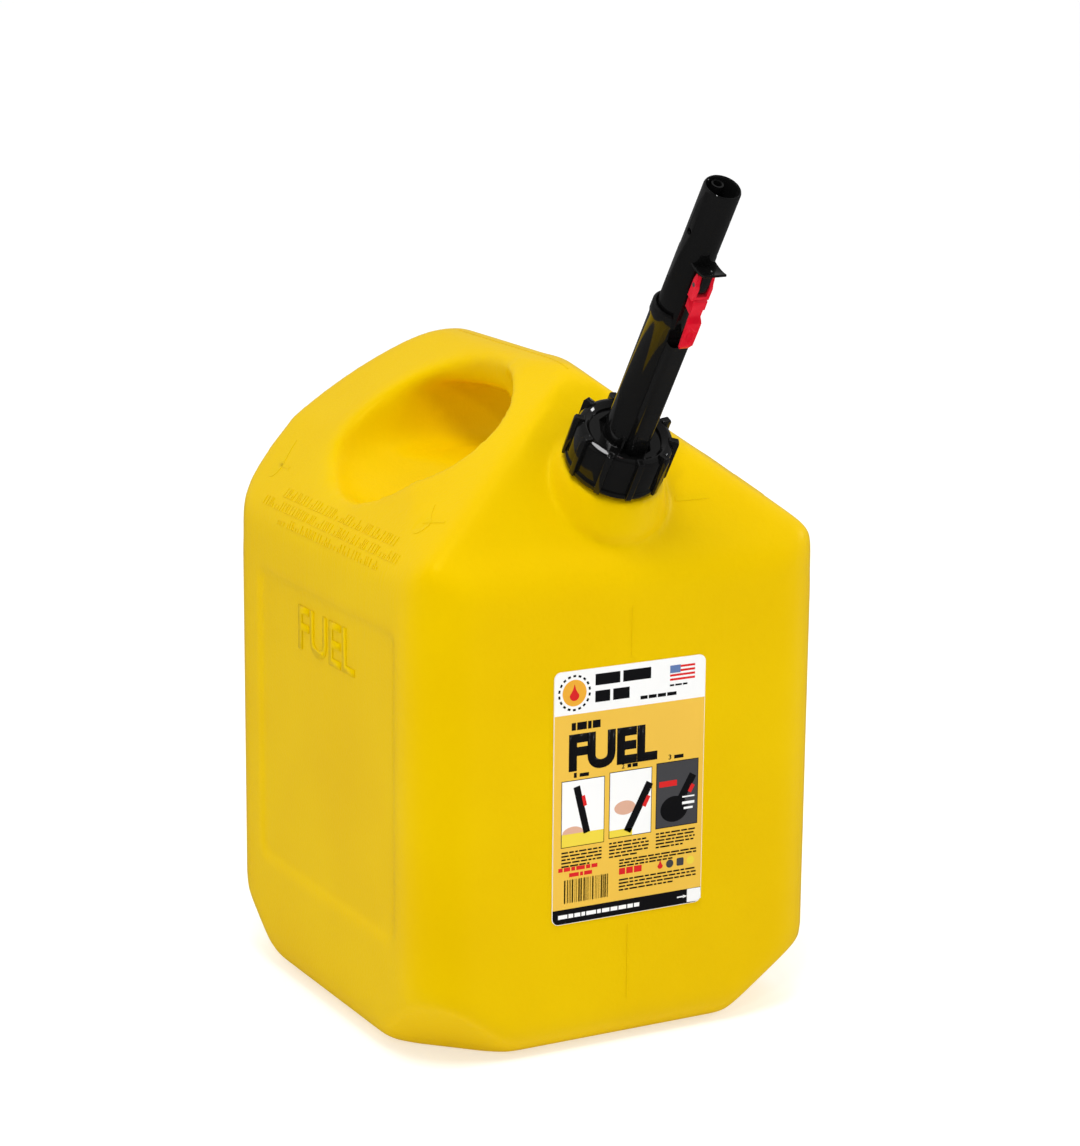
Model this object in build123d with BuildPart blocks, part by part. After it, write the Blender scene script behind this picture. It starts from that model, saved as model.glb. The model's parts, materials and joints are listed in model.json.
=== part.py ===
"""Portable fuel can with a telescopic pouring spout.

A square blow-moulded can with a bridge handle carries, on its sloping front, a screw collar
that clamps a spout.  The spout's nozzle slides down into its base tube against a spring and
pushes a poppet valve open; a red latch on the nozzle guards that travel.

Frame: millimetres, +Z up, origin at the centre of the base.  The front, with the label and
the spout, faces -Y.  The can is mirror-symmetric about the YZ plane.
"""
from build123d import *
import math
import os

os.makedirs("parts", exist_ok=True)

# ---- can body ---------------------------------------------------------------------------
can_width = 248.0            # along X
can_depth = 252.0            # along Y
can_height = 362.0           # floor to the top of the handle
wall = 2.4                   # blow-moulded wall
corner_radius = 29.0         # upright corners, in plan
base_radius = 20.0           # round between the base and the walls
shoulder_drop = 96.0         # from the handle top down to the end of the upright walls
shoulder_radius = 26.0
brow_drop = 50.0             # from the handle top down to the knee of the roof
brow_inset = 40.0            # from the side wall in to the knee of the roof
ridge_half_width = 8.0
ridge_set_back = 70.0        # from the front wall back to where the front slope starts
front_shoulder_drop = 100.0
back_round = 45.0            # round from the handle down into the back wall
foot_cut_in = 36.8           # from the corner's edge in to the facet, at the floor
foot_cut_height = 38.0       # height of the corner facet on the corner's edge
front_hip_fall = 0.66        # side planes of the roof: drop per unit of x near the front
front_hip_rise = 0.20        # and their rise per unit of y towards the back

grip_depth = 11.0            # hollow across the back wall, for tilting the can
grip_low = 66.0
grip_span = 144.0
grip_run = 20.0              # height over which the hollow fades out

panel_depth = 1.8            # sunk panel on each side wall
panel_low = 65.0
panel_top_margin = 31.0      # below the shoulder
panel_front_margin = 33.0    # from the front wall
panel_back_margin = 44.0     # from the back wall
panel_corner = 8.0

# ---- handle -----------------------------------------------------------------------------
grip_bar_thickness = 24.0    # handle bar, top to underside
grip_bar_half_width = 14.0
finger_front = -14.0         # finger hole under the bar
finger_back = 58.0
finger_height = 38.0
pocket_inset = 63.0          # from the side wall in to the pocket's centre
pocket_y = 2.0
pocket_drop = 39.0           # from the handle top down to the pocket's centre
pocket_reach = (56.0, 60.0, 34.0)     # down the slope, along Y, into the can
pocket_slope = 37.0                   # degrees the pocket leans with the roof
finger_corner = 12.0                  # round in the corners of the finger hole

# ---- neck and spout axis ----------------------------------------------------------------
spout_tilt = 33.5            # degrees forward of vertical
neck_set_back = 13.8         # from the front wall back to the centre of the neck's rim
neck_drop = 31.9             # from the handle top down to it
neck_radius = 22.2
neck_wall = 2.8
neck_height = 19.0           # rim down to the boss
boss_ledge = 6.3             # the boss's top stands out past the neck
boss_spread = 7.0            # and its foot past its top
boss_height = 17.0
hand_gap = 4.4               # hand clearance round the collar's ribs
scoop_spread = 17.0          # it widens by this much over its height
scoop_height = 26.0
mouth_reach = 3.0            # how far the neck's bore is cut on past the shell
thread_pitch = 5.0
thread_turns = 1.5
thread_depth = 1.2
thread_root = 2.2            # axial width of a thread at its root
thread_crest = 1.1
thread_foot = 4.5            # above the boss, start of the neck's thread
thread_play = 0.35
thread_sink = 0.3            # the ridge is rooted this deep in its wall

# ---- collar and seal --------------------------------------------------------------------
seal_thickness = 1.5
flange_thickness = 2.5
collar_wall = 2.5
collar_lip = 3.6
lip_overlap = 2.3            # the lip laps over the flange
collar_foot_gap = 2.5        # above the boss
bead_stand = 1.25            # the bead stands out past the collar
collar_bead_height = 3.0
collar_rib_count = 10
collar_rib_width = 3.4
rib_reach = 2.35             # ribs stand out past the collar
collar_rib_stand = 1.0       # and above its top
collar_edge = 1.6            # chamfer round the collar's top
bead_edge = 0.8              # chamfer on the bead at its foot
rib_drop = 0.5               # ribs reach below the bead
seat_play = 0.3

# ---- spout ------------------------------------------------------------------------------
base_tube_wall = 1.55
tube_play = 0.3              # between the nozzle and the base tube
base_tube_top = 94.5         # above the neck rim
base_tube_bottom = -28.0
base_rim_stand = 0.55        # the rim stands out past the tube
base_rim_height = 7.0
seat_step = 2.3              # the narrow bore at the foot is smaller by this
seat_ledge = 14.0            # ledge that carries the spring
notch_depth = 14.5           # front notch in the base tube's rim
notch_cut = 12.0             # radial length of the notch's cutter
channel_out = 1.7            # side channel: its centre lies this far out from the bore
channel_radius = 4.0
channel_bore = 1.9
channel_bore_out = 1.1       # its passage lies this far out from its centre
nozzle_radius = 10.0
nozzle_wall = 1.6
spigot_step = 0.2            # the part that enters a filler neck is slimmer by this
spigot_length = 40.0
nozzle_overlap = 32.5        # length of nozzle inside the base tube at rest
nozzle_stroke = 22.0
hook_clear = 12.0            # from the base tube up to the hook when pushed home
hook_to_tip = 42.0           # the hook catches the rim of a filler neck
hook_stand = 10.0            # it reaches this far out past the nozzle
hook_half_width = 6.8
hook_rise = 3.0
hook_thickness = 1.8
block_half_width = 2.6       # lug on the nozzle that carries the latch
block_height = 14.0          # below the hook
block_stand = 5.0
hook_root = 2.5              # the hook's plate starts this deep in the nozzle's wall
hook_tip = 0.9               # thickness at the hook's front edge
hook_bend = 1.2              # where the hook's upper face starts to turn up
side_hole_rise = 14.5        # above the hook
side_hole_radius = 1.8
side_hole_turn = 180.0       # degrees round the nozzle from +X

# ---- latch ------------------------------------------------------------------------------
latch_length = 48.0          # from the hook down to the latch's foot
latch_half_width = 3.9
latch_gap = 0.35             # in front of the side channel
latch_thickness = 2.85
latch_recess_depth = 1.4     # waist between the thumb pad and the fork
latch_pad_height = 17.0      # thumb pad, from the foot up
latch_waist_low = 20.0       # waist, from the foot up
latch_waist_high = 23.5
latch_edge = 1.5             # round on the pad's lower outer edge
latch_fork_outer = 5.0
knuckle_stand = 1.2          # front of the fork, past the lug
fork_gap = 1.0               # back of the fork, clear of the nozzle
latch_fork_foot = 6.0        # fork's web, below the lug
latch_pin_radius = 1.2
latch_pin_drop = 9.5         # below the hook
latch_pin_set_back = 2.1     # behind the lug's front
pin_play = 0.05
side_play = 0.3

# ---- valve and vent ---------------------------------------------------------------------
rod_radius = 2.0
poppet_lap = 1.6             # the poppet covers the narrow bore by this
poppet_thickness = 2.6
poppet_seal_thickness = 1.2
spider_height = 4.0
spider_ring = 1.2            # wall of the spider's ring
spider_hub = 1.6             # wall of its hub
spider_leg = 1.4             # width of its legs
rod_end = 3.0                # the rod stands out past the spider
rod_tail = 1.0               # and past the poppet's clip
rod_chamfer = 0.4
clip_grip = 1.4              # clips reach this far out from the rod
spring_gap = 0.2             # round and at the ends of the spring
spring_wire = 1.1
spring_turns = 7.0
wiper_height = 2.0
wiper_drop = 5.0             # below the notch
wiper_groove = 0.7
vent_play = 0.3              # between the vent tube and the nozzle's bore
vent_radius = 3.2
vent_bore = 2.3
vent_foot = 12.0             # above the nozzle's foot
vent_short = 2.0             # below the nozzle's tip
carrier_ring = 1.0           # wall of the ring that holds the vent tube
carrier_height = 5.0
clip_thickness = 0.8
arrestor_ring_wall = 2.2
arrestor_wall = 0.5
arrestor_room = 6.4          # below the valve when it is open
arrestor_ring_height = 10.0
arrestor_play = 0.3          # below the neck rim
screen_hole_radius = 3.0
screen_hole_first = 8.0      # lowest row, above the closed end
screen_hole_rise = 11.0
screen_hole_rows = 4
screen_hole_count = 12

# ---- label ------------------------------------------------------------------------------
label_width = 92.0
label_height = 139.0
label_centre_x = -1.0
label_centre_z = 143.5
label_sheet = 0.3
label_corner = 4.0

# ---- sizes that follow ------------------------------------------------------------------
half_w = can_width / 2
half_d = can_depth / 2
shoulder_height = can_height - shoulder_drop
front_shoulder_height = can_height - front_shoulder_drop
ridge_front = ridge_set_back - half_d
grip_high = grip_low + grip_span
panel_high = shoulder_height - panel_top_margin
panel_front = panel_front_margin - half_d
panel_back = half_d - panel_back_margin
corner_x = half_w - corner_radius
corner_y = half_d - corner_radius
corner_out = math.hypot(corner_x, corner_y) + corner_radius
foot_cut_reach = corner_out - foot_cut_in
bar_low = can_height - grip_bar_thickness
finger_floor = bar_low - finger_height
pocket_centre = (half_w - pocket_inset, pocket_y, can_height - pocket_drop)

neck_y = neck_set_back - half_d
neck_z = can_height - neck_drop
neck_bore_radius = neck_radius - neck_wall
boss_top_radius = neck_radius + boss_ledge
boss_foot_radius = boss_top_radius + boss_spread
thread_start = neck_height - thread_foot      # below the rim
flange_radius = neck_radius - seat_play
collar_bore = neck_radius + thread_depth + thread_play
collar_radius = collar_bore + collar_wall
collar_bead_radius = collar_radius + bead_stand
collar_rib_reach = collar_radius + rib_reach
collar_opening_radius = flange_radius - lip_overlap
collar_below_rim = neck_height - collar_foot_gap
scoop_floor_radius = collar_rib_reach + hand_gap
scoop_rim_radius = scoop_floor_radius + scoop_spread

base_tube_bore = nozzle_radius + tube_play
base_tube_radius = base_tube_bore + base_tube_wall
base_rim_radius = base_tube_radius + base_rim_stand
seat_bore = base_tube_bore - seat_step
channel_offset = base_tube_bore + channel_out
channel_bore_offset = channel_offset + channel_bore_out
nozzle_bore = nozzle_radius - nozzle_wall
spigot_radius = nozzle_radius - spigot_step
nozzle_bottom = base_tube_top - nozzle_overlap
hook_height = base_tube_top + nozzle_stroke + hook_clear
hook_reach = nozzle_radius + hook_stand
nozzle_tip = hook_height + hook_to_tip
block_low = hook_height - block_height
block_front = nozzle_radius + block_stand
side_hole_height = hook_height + side_hole_rise
latch_low = hook_height - latch_length
latch_inner = channel_offset + channel_radius + latch_gap
latch_outer = latch_inner + latch_thickness
latch_recess = latch_outer - latch_recess_depth
latch_knuckle = block_front + knuckle_stand
latch_fork_inner = nozzle_radius + fork_gap
latch_pin_height = hook_height - latch_pin_drop
latch_pin_front = block_front - latch_pin_set_back
poppet_radius = seat_bore + poppet_lap
wiper_low = base_tube_top - notch_depth - wiper_drop
vent_offset = nozzle_bore - vent_radius - vent_play
vent_bottom = nozzle_bottom + vent_foot
vent_top = nozzle_tip - vent_short
arrestor_radius = neck_bore_radius - arrestor_ring_wall
valve_stack = poppet_seal_thickness + poppet_thickness + clip_thickness + rod_tail
arrestor_depth = valve_stack + nozzle_stroke + arrestor_room - base_tube_bottom
tilt = math.radians(spout_tilt)
spout_dir = Vector(0, -math.sin(tilt), math.cos(tilt))
neck_point = Vector(0, neck_y, neck_z)
spout = Plane(origin=neck_point, x_dir=(1, 0, 0), z_dir=spout_dir)
spout_axis = Axis(neck_point, spout_dir)
section = Plane(origin=neck_point, x_dir=(1, 0, 0), z_dir=Vector(1, 0, 0).cross(spout_dir))


def finish(builder, label):
    """Name a finished piece and write it to its own file."""
    builder.part.label = label
    export_step(builder.part, f"parts/{label}.step")
    print(f"{label:24s} {builder.part.volume / 1000:9.2f} cm3  valid {builder.part.is_valid}")


# ---- 1. can body ------------------------------------------------------------------------
def can_form(inset):
    """The can's closed outer shape, drawn in by a distance all round."""
    roof_run = half_w - brow_inset
    with BuildPart() as form:
        # upright prism with round corners
        with BuildSketch(Plane.XY.offset(inset)):
            RectangleRounded(can_width - 2 * inset, can_depth - 2 * inset, corner_radius - inset)
        extrude(amount=can_height - 2 * inset)
        # seen from the front: base round, upright side, shoulder, knee, ridge
        with BuildSketch(Plane.XZ.offset(-can_depth)):
            with BuildLine():
                Polyline(
                    (0, 0),
                    (half_w, 0),
                    (half_w, shoulder_height),
                    (roof_run, can_height - brow_drop),
                    (ridge_half_width, can_height),
                    (0, can_height),
                    close=True,
                )
            make_face()
            mirror(about=Plane.YZ)
            low = vertices().group_by(Axis.Y)[0].sort_by(Axis.X)
            fillet([low[0], low[-1]], base_radius)
            fillet(vertices().filter_by_position(Axis.Y, shoulder_height - 1, shoulder_height + 1),
                   shoulder_radius)
            fillet(vertices().filter_by_position(Axis.Y, can_height - brow_drop - 1,
                                                 can_height - brow_drop + 1), shoulder_radius)
            fillet(vertices().group_by(Axis.Y)[-1], ridge_half_width)
            if inset:
                offset(amount=-inset, mode=Mode.REPLACE)
        extrude(amount=2 * can_depth, mode=Mode.INTERSECT)
        # seen from the side: base, front wall, front slope, handle line, back wall with its hollow
        with BuildSketch(Plane.YZ.offset(-can_width)):
            with BuildLine():
                Polyline(
                    (-half_d, 0),
                    (half_d, 0),
                    (half_d, grip_low),
                    (half_d - grip_depth, grip_low + grip_run),
                    (half_d - grip_depth, grip_high - grip_run),
                    (half_d, grip_high),
                    (half_d, can_height),
                    (ridge_front, can_height),
                    (-half_d, front_shoulder_height),
                    close=True,
                )
            make_face()
            ends = vertices().group_by(Axis.Y)[0]
            fillet(ends, base_radius)
            fillet(vertices().sort_by(lambda v: v.Y + v.X)[-1:], back_round)
            fillet(vertices().filter_by_position(Axis.Y, front_shoulder_height - 1,
                                                 front_shoulder_height + 1), shoulder_radius)
            fillet(vertices().filter_by_position(Axis.Y, grip_low - 1, grip_high + 1), grip_run)
            fillet(vertices().filter_by_position(Axis.X, ridge_front - 2, ridge_front + 2),
                   shoulder_radius)
            if inset:
                offset(amount=-inset, mode=Mode.REPLACE)
        extrude(amount=2 * can_width, mode=Mode.INTERSECT)
    return form.part


def trimmed(form, inset):
    """Cut the roof's front side planes, the four corner facets and the side panels."""
    corner_dir = Vector(corner_x, corner_y, 0).normalized()
    lean = (corner_out - foot_cut_reach) / foot_cut_height
    with BuildPart() as body:
        add(form)
        for side in (-1, 1):
            outward = Vector(side * front_hip_fall, -front_hip_rise, 1).normalized()
            start = Vector(0, ridge_front, can_height) - outward * inset
            split(bisect_by=Plane(origin=start, z_dir=outward), keep=Keep.BOTTOM)
            for end in (-1, 1):
                flat = Vector(side * corner_dir.X, end * corner_dir.Y, 0)
                outward = (flat - Vector(0, 0, lean)).normalized()
                start = flat * foot_cut_reach - outward * inset
                split(bisect_by=Plane(origin=start, z_dir=outward), keep=Keep.BOTTOM)
            with BuildSketch(Plane.YZ.offset(side * (half_w - panel_depth - inset))):
                with Locations(((panel_front + panel_back) / 2, (panel_low + panel_high) / 2)):
                    RectangleRounded(panel_back - panel_front + 2 * inset,
                                     panel_high - panel_low + 2 * inset, panel_corner + inset)
            extrude(amount=side * (panel_depth + 3 * inset + 1), mode=Mode.SUBTRACT)
    return body.part


def pocket_cutter(inset):
    """The hand pockets on both sides of the handle and the finger hole that joins them."""
    with BuildPart(mode=Mode.PRIVATE) as bowl:
        Sphere(1)
        scale(by=tuple(reach + inset for reach in pocket_reach))
    with BuildPart() as cutter:
        with Locations(Location(pocket_centre, (0, pocket_slope, 0))):
            add(bowl.part)
        mirror(about=Plane.YZ)
        with BuildSketch(Plane.YZ.offset(-pocket_centre[0])):
            with Locations(((finger_front + finger_back) / 2, (finger_floor + bar_low) / 2)):
                RectangleRounded(finger_back - finger_front + 2 * inset,
                                 bar_low - finger_floor + 2 * inset, finger_corner + inset)
        extrude(amount=2 * pocket_centre[0])
        # keep the bar above the finger hole
        with BuildSketch(Plane.XY.offset(bar_low + inset)):
            Rectangle(2 * (grip_bar_half_width - inset), 2 * can_depth)
        extrude(amount=can_height, mode=Mode.SUBTRACT)
    return cutter.part


def neck_cutter(inset):
    """Room for a hand round the collar, sunk into the slope above the boss."""
    low = -neck_height
    with BuildPart() as scoop:
        with BuildSketch(section):
            Polygon(
                (0, low - inset),
                (scoop_floor_radius + inset, low - inset),
                (scoop_rim_radius + inset, low + scoop_height),
                (scoop_rim_radius + inset, low + 3 * scoop_height),
                (0, low + 3 * scoop_height),
                align=None,
            )
        revolve(axis=spout_axis)
    return scoop.part


def boss(inset):
    """The round boss that carries the neck, widening into the shell."""
    with BuildPart() as mound:
        with BuildSketch(section):
            Polygon(
                (0, -neck_height - inset),
                (boss_top_radius - inset, -neck_height - inset),
                (boss_foot_radius - inset, -neck_height - boss_height),
                (boss_foot_radius - inset, -neck_height - 1.5 * boss_height),
                (0, -neck_height - 1.5 * boss_height),
                align=None,
            )
        revolve(axis=spout_axis)
    return mound.part


def shell_form(inset):
    """Everything the blow mould forms, at a distance inside the outer surface."""
    form = trimmed(can_form(inset), inset)
    hand_room = pocket_cutter(inset)
    collar_room = neck_cutter(inset)
    mound = boss(inset)
    with BuildPart() as shell:
        add(form)
        add(hand_room, mode=Mode.SUBTRACT)
        add(collar_room, mode=Mode.SUBTRACT)
        add(mound)
    return shell.part


def thread_ridge(radius, depth, start, turns, inward):
    """One helical ridge round the spout axis, its tip pointing out of or into the bore."""
    tip = -depth if inward else depth
    sink = thread_sink if inward else -thread_sink
    with BuildPart() as ridge:
        with BuildLine() as lead:
            Helix(thread_pitch, thread_pitch * turns, radius, center=(0, 0, start))
        with BuildSketch(Plane(origin=lead.line @ 0, x_dir=(1, 0, 0), z_dir=(0, 1, 0))):
            Polygon(
                (sink, -thread_root / 2),
                (sink, thread_root / 2),
                (0, thread_root / 2),
                (tip, thread_crest / 2),
                (tip, -thread_crest / 2),
                (0, -thread_root / 2),
                align=None,
            )
        sweep(path=lead.line, is_frenet=True)
    return spout.from_local_coords(ridge.part)


outer = shell_form(0)
cavity = shell_form(wall)
neck_thread = thread_ridge(neck_radius, thread_depth, -thread_start, thread_turns, inward=False)
with BuildPart() as tank_body:
    add(outer)
    with BuildSketch(spout.offset(-neck_height - 1)):
        Circle(neck_radius)
    extrude(amount=neck_height + 1)
    add(neck_thread)
    add(cavity, mode=Mode.SUBTRACT)
    with BuildSketch(spout.offset(-neck_height - wall - mouth_reach)):
        Circle(neck_bore_radius)
    extrude(amount=neck_height + wall + mouth_reach + 1, mode=Mode.SUBTRACT)
finish(tank_body, "tank_body")

# ---- 2. label ---------------------------------------------------------------------------
def label_sheet_at(face_y):
    """A round-cornered sheet lying on the front wall, its back at the given depth."""
    with BuildPart() as sheet:
        with BuildSketch(Plane.XZ.offset(-face_y)):
            with Locations((label_centre_x, label_centre_z)):
                RectangleRounded(label_width, label_height, label_corner)
        extrude(amount=label_sheet)
    return sheet


label_base = label_sheet_at(-half_d)
finish(label_base, "label_base")
label_leaf = label_sheet_at(-half_d - label_sheet)
finish(label_leaf, "label_leaf")


# ---- shared shapes of the spout assembly ------------------------------------------------
def disc(low, high, outer_radius, inner_radius=0.0, centre=(0.0, 0.0)):
    """A ring or disc square to the spout axis, between two heights above the neck rim."""
    with BuildPart() as ring:
        with BuildSketch(spout.offset(low)):
            with Locations(centre):
                Circle(outer_radius)
                if inner_radius:
                    Circle(inner_radius, mode=Mode.SUBTRACT)
        extrude(amount=high - low)
    return ring


# ---- 3. seal ----------------------------------------------------------------------------
collar_seal = disc(0, seal_thickness, flange_radius, neck_bore_radius + seat_play)
finish(collar_seal, "collar_seal")

# ---- 4. screw collar --------------------------------------------------------------------
flange_top = seal_thickness + flange_thickness
lip_low = flange_top + seat_play
collar_top = lip_low + collar_lip
collar_thread_start = -thread_start + thread_pitch / 2
collar_thread = thread_ridge(
    collar_bore, thread_depth, collar_thread_start - thread_pitch / 4, thread_turns, inward=True
)
with BuildPart() as screw_collar:
    with BuildSketch(spout.offset(-collar_below_rim)):
        Circle(collar_radius)
    extrude(amount=collar_below_rim + collar_top)
    chamfer(edges().group_by(spout_axis)[-1], collar_edge)
    with BuildSketch(spout.offset(-collar_below_rim)):
        Circle(collar_bead_radius)
    extrude(amount=collar_bead_height)
    bead_rims = edges().filter_by(GeomType.CIRCLE).filter_by(lambda e: e.radius > collar_radius)
    chamfer(bead_rims, bead_edge)
    with BuildSketch(spout.offset(-collar_below_rim - rib_drop)):
        with PolarLocations(collar_radius - 1, collar_rib_count, start_angle=90 / collar_rib_count):
            Rectangle(2 * (collar_rib_reach - collar_radius + 1), collar_rib_width)
    extrude(amount=collar_below_rim + rib_drop + collar_top + collar_rib_stand)
    with BuildSketch(spout.offset(-collar_below_rim - 1)):
        Circle(collar_bore)
    extrude(amount=collar_below_rim + 1 + lip_low, mode=Mode.SUBTRACT)
    with BuildSketch(spout.offset(lip_low - 1)):
        Circle(collar_opening_radius)
    extrude(amount=collar_lip + 2 * collar_rib_stand + 1, mode=Mode.SUBTRACT)
    with BuildSketch(spout.offset(collar_top)):
        Circle(collar_radius - collar_edge)
    extrude(amount=2 * collar_rib_stand, mode=Mode.SUBTRACT)
    add(collar_thread)
finish(screw_collar, "screw_collar")

# ---- 5. base tube -----------------------------------------------------------------------
channel_top = latch_low - 1.0
notch_half_width = latch_fork_outer + side_play
wiper_radius = base_tube_bore + wiper_groove
with BuildPart() as base_tube:
    with BuildSketch(spout.offset(base_tube_bottom)):
        Circle(base_tube_radius)
    extrude(amount=base_tube_top - base_tube_bottom)
    with BuildSketch(spout.offset(base_tube_top - base_rim_height)):
        Circle(base_rim_radius)
    extrude(amount=base_rim_height)
    with BuildSketch(spout.offset(seal_thickness)):
        Circle(flange_radius)
    extrude(amount=flange_thickness)
    with BuildSketch(spout.offset(seal_thickness)):
        with Locations((0, -channel_offset)):
            Circle(channel_radius)
        with Locations((0, -channel_offset / 2)):
            Rectangle(2 * channel_radius, channel_offset)
    extrude(amount=channel_top - seal_thickness)
    # bores: wide for the nozzle and spring, narrow below the ledge
    with BuildSketch(spout.offset(seat_ledge)):
        Circle(base_tube_bore)
    extrude(amount=base_tube_top - seat_ledge + 1, mode=Mode.SUBTRACT)
    with BuildSketch(spout.offset(base_tube_bottom - 1)):
        Circle(seat_bore)
    extrude(amount=seat_ledge - base_tube_bottom + 2, mode=Mode.SUBTRACT)
    with BuildSketch(spout.offset(wiper_low)):
        Circle(wiper_radius)
    extrude(amount=wiper_height, mode=Mode.SUBTRACT)
    # air passage in the side channel, open at its top
    with BuildSketch(spout.offset(seal_thickness + flange_thickness)):
        with Locations((0, -channel_bore_offset)):
            Circle(channel_bore)
    extrude(amount=base_tube_top, mode=Mode.SUBTRACT)
    # front notch in the rim, where the latch sits
    with BuildSketch(spout.offset(base_tube_top - notch_depth)):
        with Locations((0, -seat_bore - notch_cut / 2)):
            Rectangle(2 * notch_half_width, notch_cut)
    extrude(amount=notch_depth + 1, mode=Mode.SUBTRACT)
finish(base_tube, "base_tube")

# ---- 6. nozzle --------------------------------------------------------------------------
side_turn = math.radians(side_hole_turn)
hole_out = spout.x_dir * math.cos(side_turn) + spout.y_dir * math.sin(side_turn)
hole_plane = Plane(origin=neck_point + spout_dir * side_hole_height, z_dir=hole_out)
hook_side = Plane(origin=neck_point, x_dir=spout.y_dir * -1, z_dir=(-1, 0, 0))
hook_back = nozzle_radius - hook_root
hook_under = hook_height - hook_thickness
with BuildPart() as nozzle:
    with BuildSketch(spout.offset(nozzle_bottom)):
        Circle(nozzle_radius)
    extrude(amount=nozzle_tip - spigot_length - nozzle_bottom)
    with BuildSketch(spout.offset(nozzle_tip - spigot_length)):
        Circle(spigot_radius)
    extrude(amount=spigot_length)
    with BuildSketch(spout.offset(block_low)):
        with Locations((0, -(block_front + nozzle_radius - 1) / 2)):
            Rectangle(2 * block_half_width, block_front - nozzle_radius + 1)
    extrude(amount=hook_height - block_low)
    with BuildSketch(hook_side.offset(-hook_half_width)):
        with BuildLine():
            Polyline(
                (hook_back, hook_under),
                (block_front, hook_under),
                (hook_reach, hook_height + hook_rise - hook_tip),
                (hook_reach, hook_height + hook_rise),
                (hook_reach - hook_bend, hook_height + hook_rise),
                (block_front - 1, hook_height),
                (hook_back, hook_height + hook_bend),
                close=True,
            )
        make_face()
    extrude(amount=2 * hook_half_width)
    with BuildSketch(spout.offset(nozzle_bottom - 1)):
        Circle(nozzle_bore)
    extrude(amount=nozzle_tip - nozzle_bottom + 2, mode=Mode.SUBTRACT)
    with BuildSketch(hole_plane):
        Circle(side_hole_radius)
    extrude(amount=nozzle_radius + 2, mode=Mode.SUBTRACT)
    pin_line = Plane(
        origin=neck_point + spout_dir * latch_pin_height - spout.y_dir * latch_pin_front,
        z_dir=(1, 0, 0),
    )
    with BuildSketch(pin_line.offset(-hook_half_width)):
        Circle(latch_pin_radius + pin_play)
    extrude(amount=2 * hook_half_width, mode=Mode.SUBTRACT)
finish(nozzle, "nozzle")

# ---- 7. latch, its pin and spring -------------------------------------------------------
fork_low = block_low - 3.0
fork_web = block_low - latch_fork_foot
fork_seat = block_low - 1.0
fork_top = hook_under - 1.2
latch_clear = channel_top + nozzle_stroke + 2 * side_play     # clears the channel when pushed
with BuildPart() as safety_latch:
    # seen from the side: foot, thumb pad, waist, fork
    with BuildSketch(hook_side.offset(-latch_half_width)):
        with BuildLine():
            Polyline(
                (latch_inner, latch_low),
                (latch_outer - latch_edge / 2, latch_low),
                (latch_outer, latch_low + latch_edge),
                (latch_outer, latch_low + latch_pad_height),
                (latch_recess, latch_low + latch_waist_low),
                (latch_recess, latch_low + latch_waist_high),
                (latch_knuckle, fork_low),
                (latch_knuckle, fork_seat),
                (latch_fork_inner, fork_seat),
                (latch_fork_inner, fork_web),
                (latch_inner, latch_clear),
                close=True,
            )
        make_face()
    extrude(amount=2 * latch_half_width)
    for side in (-1, 1):
        inner = block_half_width + side_play
        with BuildSketch(hook_side.offset(side * inner)):
            with BuildLine():
                Polyline(
                    (latch_fork_inner, fork_low),
                    (latch_knuckle, fork_low),
                    (latch_knuckle, latch_pin_height - 1),
                    (latch_knuckle - 1, fork_top),
                    (latch_fork_inner, fork_top),
                    close=True,
                )
            make_face()
        extrude(amount=side * (latch_fork_outer - inner))
    with BuildSketch(pin_line.offset(-hook_half_width)):
        Circle(latch_pin_radius)
    extrude(amount=2 * hook_half_width, mode=Mode.SUBTRACT)
finish(safety_latch, "safety_latch")

with BuildPart() as latch_pin:
    with BuildSketch(pin_line.offset(-latch_fork_outer)):
        Circle(latch_pin_radius)
    extrude(amount=2 * latch_fork_outer)
finish(latch_pin, "latch_pin")

# ---- 8. valve: rod, poppet, seal, spider, clip and return spring ------------------------
poppet_top = base_tube_bottom - poppet_seal_thickness
poppet_low = poppet_top - poppet_thickness
spider_low = nozzle_bottom + 1.0
rod_top = spider_low + spider_height + rod_end

valve_poppet = disc(poppet_low, poppet_top, poppet_radius, rod_radius)
finish(valve_poppet, "valve_poppet")

poppet_seal = disc(poppet_top, base_tube_bottom, poppet_radius, rod_radius)
finish(poppet_seal, "poppet_seal")

with BuildPart() as valve_rod:
    with BuildSketch(spout.offset(poppet_low - clip_thickness - rod_tail)):
        Circle(rod_radius)
    extrude(amount=rod_top - poppet_low + clip_thickness + rod_tail)
    chamfer(edges().filter_by(GeomType.CIRCLE), rod_chamfer)
finish(valve_rod, "valve_rod")

with BuildPart() as rod_spider:
    with BuildSketch(spout.offset(spider_low)):
        Circle(nozzle_bore)
        Circle(nozzle_bore - spider_ring, mode=Mode.SUBTRACT)
        Circle(rod_radius + spider_hub)
        with PolarLocations(nozzle_bore / 2, 3, start_angle=90):
            Rectangle(nozzle_bore - 1.0, spider_leg)
        Circle(rod_radius, mode=Mode.SUBTRACT)
    extrude(amount=spider_height)
finish(rod_spider, "rod_spider")

clip_radius = rod_radius + clip_grip
poppet_clip = disc(poppet_low - clip_thickness, poppet_low, clip_radius, rod_radius)
finish(poppet_clip, "poppet_clip")
rod_clip_low = spider_low + spider_height
rod_clip = disc(rod_clip_low, rod_clip_low + clip_thickness, clip_radius, rod_radius)
finish(rod_clip, "rod_clip")

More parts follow.
